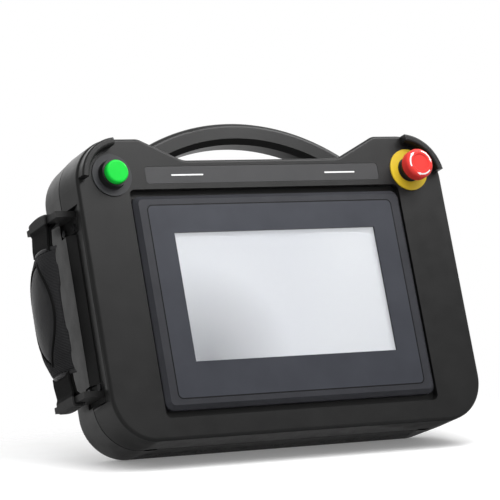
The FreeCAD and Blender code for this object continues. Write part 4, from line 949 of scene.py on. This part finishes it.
def addStitches(tree, shape):
    stitches = []
    count = int(2 * (shape["halfWidth"] - padLook["stitchMargin"]) / padLook["stitchPitch"])
    for end in (-1, 1):
        z = shape["middle"] + end * (shape["halfLength"] - padLook["hem"])
        for step in range(count + 1):
            y = shape["centreY"] + (step - count / 2) * padLook["stitchPitch"]
            run = [onOutside(tree, y + share * padLook["stitchLength"], z, lift)
                   for share, lift in padLook["stitchRise"]]
            if None not in run:
                stitches.append(tubeMesh("stitch", run, padLook["stitchRadius"], closed=False, sides=2))
    addPiece("padStitches", joinMeshes("padStitches", stitches), finishes["webbing"], "case")


def makePad():
    shape = padFrame()
    seam = panelSeam(shape)
    pad = bpy.data.objects.new("strapPad", padMesh(shape))
    scene.collection.objects.link(pad)
    swell(pad, shape, seam)
    sewPad(pad, shape, seam)
    coverPad(pad.data, shape)
    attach(pad, "case")
    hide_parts("strap_pad")
    tree = treeOf(pad.data)
    addPiping(tree, seam)
    addStitches(tree, shape)


makePad()
print("strap pad made")


# webbing: a loop round the bar of each anchor, its two legs drawn together below the bar and into the pad
webLook = {
    "thickness": 1.8 * mm,
    "fit": 0.3 * mm,
    "barHeight": 4.0 * mm,
    "legGap": 0.25 * mm,            # between the two legs where they lie together
    "neck": 3.4 * mm,               # length over which the legs part round the bar
    "lean": 1.0 * mm,               # how far the legs lean in towards the bar
    "intoPad": 5.0 * mm,
    "dome": 1.2 * mm,               # rise of the fold in the middle of its width
    "edge": 0.55 * mm,              # rounding of the selvedges
    "edgeAngles": (0, 30, 60, 90),
    "flatPoints": 10,
    "sharpFrom": 50,
    # points along each leg, as shares of its straight, its neck and the bar, and angles of the bend
    "legShares": (0.25, 0.5, 0.75, 1.0),
    "neckShares": (0.2, 0.36, 0.52, 0.68, 0.84, 1.0),
    "barShares": (0.35, 0.7),
    "bendAngles": (0, 15, 30, 45, 60, 75, 90),
}


def loopPath(sign):
    low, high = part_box("strap_webbing")
    padLow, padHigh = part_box("strap_pad")
    half = webLook["thickness"] / 2
    outer, inner = low.x + half, high.x - half
    top = high.z - half if sign > 0 else low.z + half
    end = padHigh.z if sign > 0 else padLow.z
    radius = webLook["fit"] + half
    under = top - sign * (radius + webLook["barHeight"] + webLook["fit"])
    neck = under - sign * webLook["neck"]
    middle = outer + half + webLook["legGap"] / 2
    line = []
    for side, far in ((-1, outer), (1, inner)):
        near = middle + side * (half + webLook["legGap"] / 2)
        leg = [(near, end - sign * webLook["intoPad"]), (near, end)]
        leg += [(near + webLook["lean"] * t, end + (neck - end) * t) for t in webLook["legShares"]]
        start = leg[-1][0]
        leg += [(start + (far - start) * smoothStep(t), neck + (under - neck) * t) for t in webLook["neckShares"]]
        leg += [(far, under + sign * webLook["barHeight"] * t) for t in webLook["barShares"]]
        for angle in map(math.radians, webLook["bendAngles"]):
            leg.append((far - side * radius * (1 - math.cos(angle)), top - sign * radius * (1 - math.sin(angle))))
        line += leg if side < 0 else leg[::-1]
    return np.array(line)


def ribbonMesh(name, line, low, high):
    half, edge = webLook["thickness"] / 2, webLook["edge"]
    top = [(y, half) for y in np.linspace(low + 2 * edge, high - 2 * edge, webLook["flatPoints"])]
    for y, side in ((low, 1), (high, -1)):
        for angle in map(math.radians, webLook["edgeAngles"]):
            top.append((y + side * edge * (1 - math.sin(angle)), half - edge * (1 - math.cos(angle))))
    top.sort()
    ring = top + [(y, -lift) for y, lift in reversed(top)]
    run = np.gradient(line, axis=0)
    run /= np.linalg.norm(run, axis=1, keepdims=True)
    rise = line[:, 1] - line[0, 1]
    fromFold = np.abs(rise).max() - np.abs(rise)
    folded = smoothStep(1 - fromFold / (2 * webLook["barHeight"])) * np.sign(rise)
    points = []
    for (x, z), (dx, dz), fold in zip(line, run, folded):
        for y, lift in ring:
            dome = webLook["dome"] * fold * (1 - ((2 * y - low - high) / (high - low)) ** 2)
            points.append((x - dz * lift, y, z + dx * lift + dome))
    return meshFrom(name, points, ringFaces(len(line), len(ring)))


def makeWebbing():
    low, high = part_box("strap_webbing")
    loops = [ribbonMesh("webbingLoop", loopPath(sign), low.y, high.y) for sign in (-1, 1)]
    web = addPiece("strapWebbing", joinMeshes("strapWebbing", loops), finishes["webbing"], "case")
    shadeFaces(web.data, True)
    web.data.set_sharp_from_angle(angle=math.radians(webLook["sharpFrom"]))
    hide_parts("strap_webbing")


makeWebbing()
print("webbing made")


# return springs: each copied from its node and fixed to the case in spring steel
coilLook = {
    "startCoil": {"node": "start_spring", "joint": "start_press", "travel": 3.0 * mm},
    "stopCoil": {"node": "stop_spring", "joint": "stop_press", "travel": 4.0 * mm},
}


def makeCoils():
    for name, coil in coilLook.items():
        mesh = nodes[coil["node"]].data.copy()
        piece = addPiece(name, mesh, finishes["spring_steel"], "case")
        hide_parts(coil["node"])
        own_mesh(piece)


makeCoils()
print("springs made")


# print laid on the front of a node as a thin skin, between lines that run side by side
skinLook = {"lift": 0.06 * mm, "sink": 0.05 * mm}


def skinMesh(name, node, lines, lift=skinLook["lift"]):
    tree = treeOf(nodes[node].data)
    rows, count = len(lines), len(lines[0])
    inward = Vector((0, 1, 0))
    front = cadBox[0][1] - rayRoom
    hits = [tree.ray_cast(Vector((x, front, z)), inward)[0] for line in lines for x, z in line]
    points = [hit - inward * lift for hit in hits] + [hit + inward * skinLook["sink"] for hit in hits]
    size = len(hits)
    faces = []
    for row in range(rows - 1):
        for step in range(count - 1):
            a = row * count + step
            corners = (a, a + 1, a + 1 + count, a + count)
            faces += [corners, tuple(size + corner for corner in corners)]
    rim = list(range(count)) + [row * count + count - 1 for row in range(1, rows)]
    rim += [(rows - 1) * count + step for step in range(count - 2, -1, -1)]
    rim += [row * count for row in range(rows - 2, 0, -1)]
    faces += [(a, b, size + b, size + a) for a, b in zip(rim, rim[1:] + rim[:1])]
    return meshFrom(name, points, faces, smooth=False)


# turning arrows on the stop button's head
arrowLook = {
    "middles": (158, 38, -82),
    "span": 80,
    "steps": 26,
    "radius": 8.4 * mm,
    "width": 1.0 * mm,
    "headWidth": 2.1 * mm,
    "headAngle": 20,
    "tip": 0.06 * mm,
    "lift": 0.1 * mm,
}


def makeArrows():
    low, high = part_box("stop_head")
    centreX, centreZ = (low.x + high.x) / 2, (low.z + high.z) / 2
    arrows = []
    for middle in arrowLook["middles"]:
        lines = [], [], []
        for step in range(arrowLook["steps"] + 1):
            turned = arrowLook["span"] * step / arrowLook["steps"]
            left = arrowLook["span"] - turned
            half = arrowLook["width"] / 2
            if left < arrowLook["headAngle"]:
                half = max(arrowLook["tip"], arrowLook["headWidth"] / 2 * left / arrowLook["headAngle"])
            angle = math.radians(middle + arrowLook["span"] / 2 - turned)
            for line, offset in zip(lines, (-half, 0, half)):
                radius = arrowLook["radius"] + offset
                line.append((centreX + radius * math.cos(angle), centreZ + radius * math.sin(angle)))
        arrows.append(skinMesh("arrow", "stop_head", lines, arrowLook["lift"]))
    addPiece("turnArrows", joinMeshes("turnArrows", arrows), whitePrint, "stop_knob")


# two plain dashes with round ends on the label plate
dashLook = {
    "runs": ((-71.7 * mm, -47.4 * mm), (47.4 * mm, 71.7 * mm)),
    "height": 178.0 * mm,
    "width": 1.0 * mm,
    "endSteps": 6,
    "endFrom": 0.15,                # angle at which the round end begins, so that it has a little width
}


def makeDashes():
    dashes = []
    half, height = dashLook["width"] / 2, dashLook["height"]
    inset = half * (1 - np.cos(np.linspace(0, math.pi / 2, dashLook["endSteps"])))
    swing = half * np.sin(np.linspace(dashLook["endFrom"], math.pi / 2, dashLook["endSteps"]))
    for start, end in dashLook["runs"]:
        across = np.concatenate([start + inset, end - inset[::-1]])
        rise = np.concatenate([swing, swing[::-1]])
        under = [(x, height - r) for x, r in zip(across, rise)]
        over = [(x, height + r) for x, r in zip(across, rise)]
        dashes.append(skinMesh("dash", "label_plate", (under, over)))
    addPiece("labelDashes", joinMeshes("labelDashes", dashes), whitePrint, "case")


makeArrows()
makeDashes()
print("print laid")
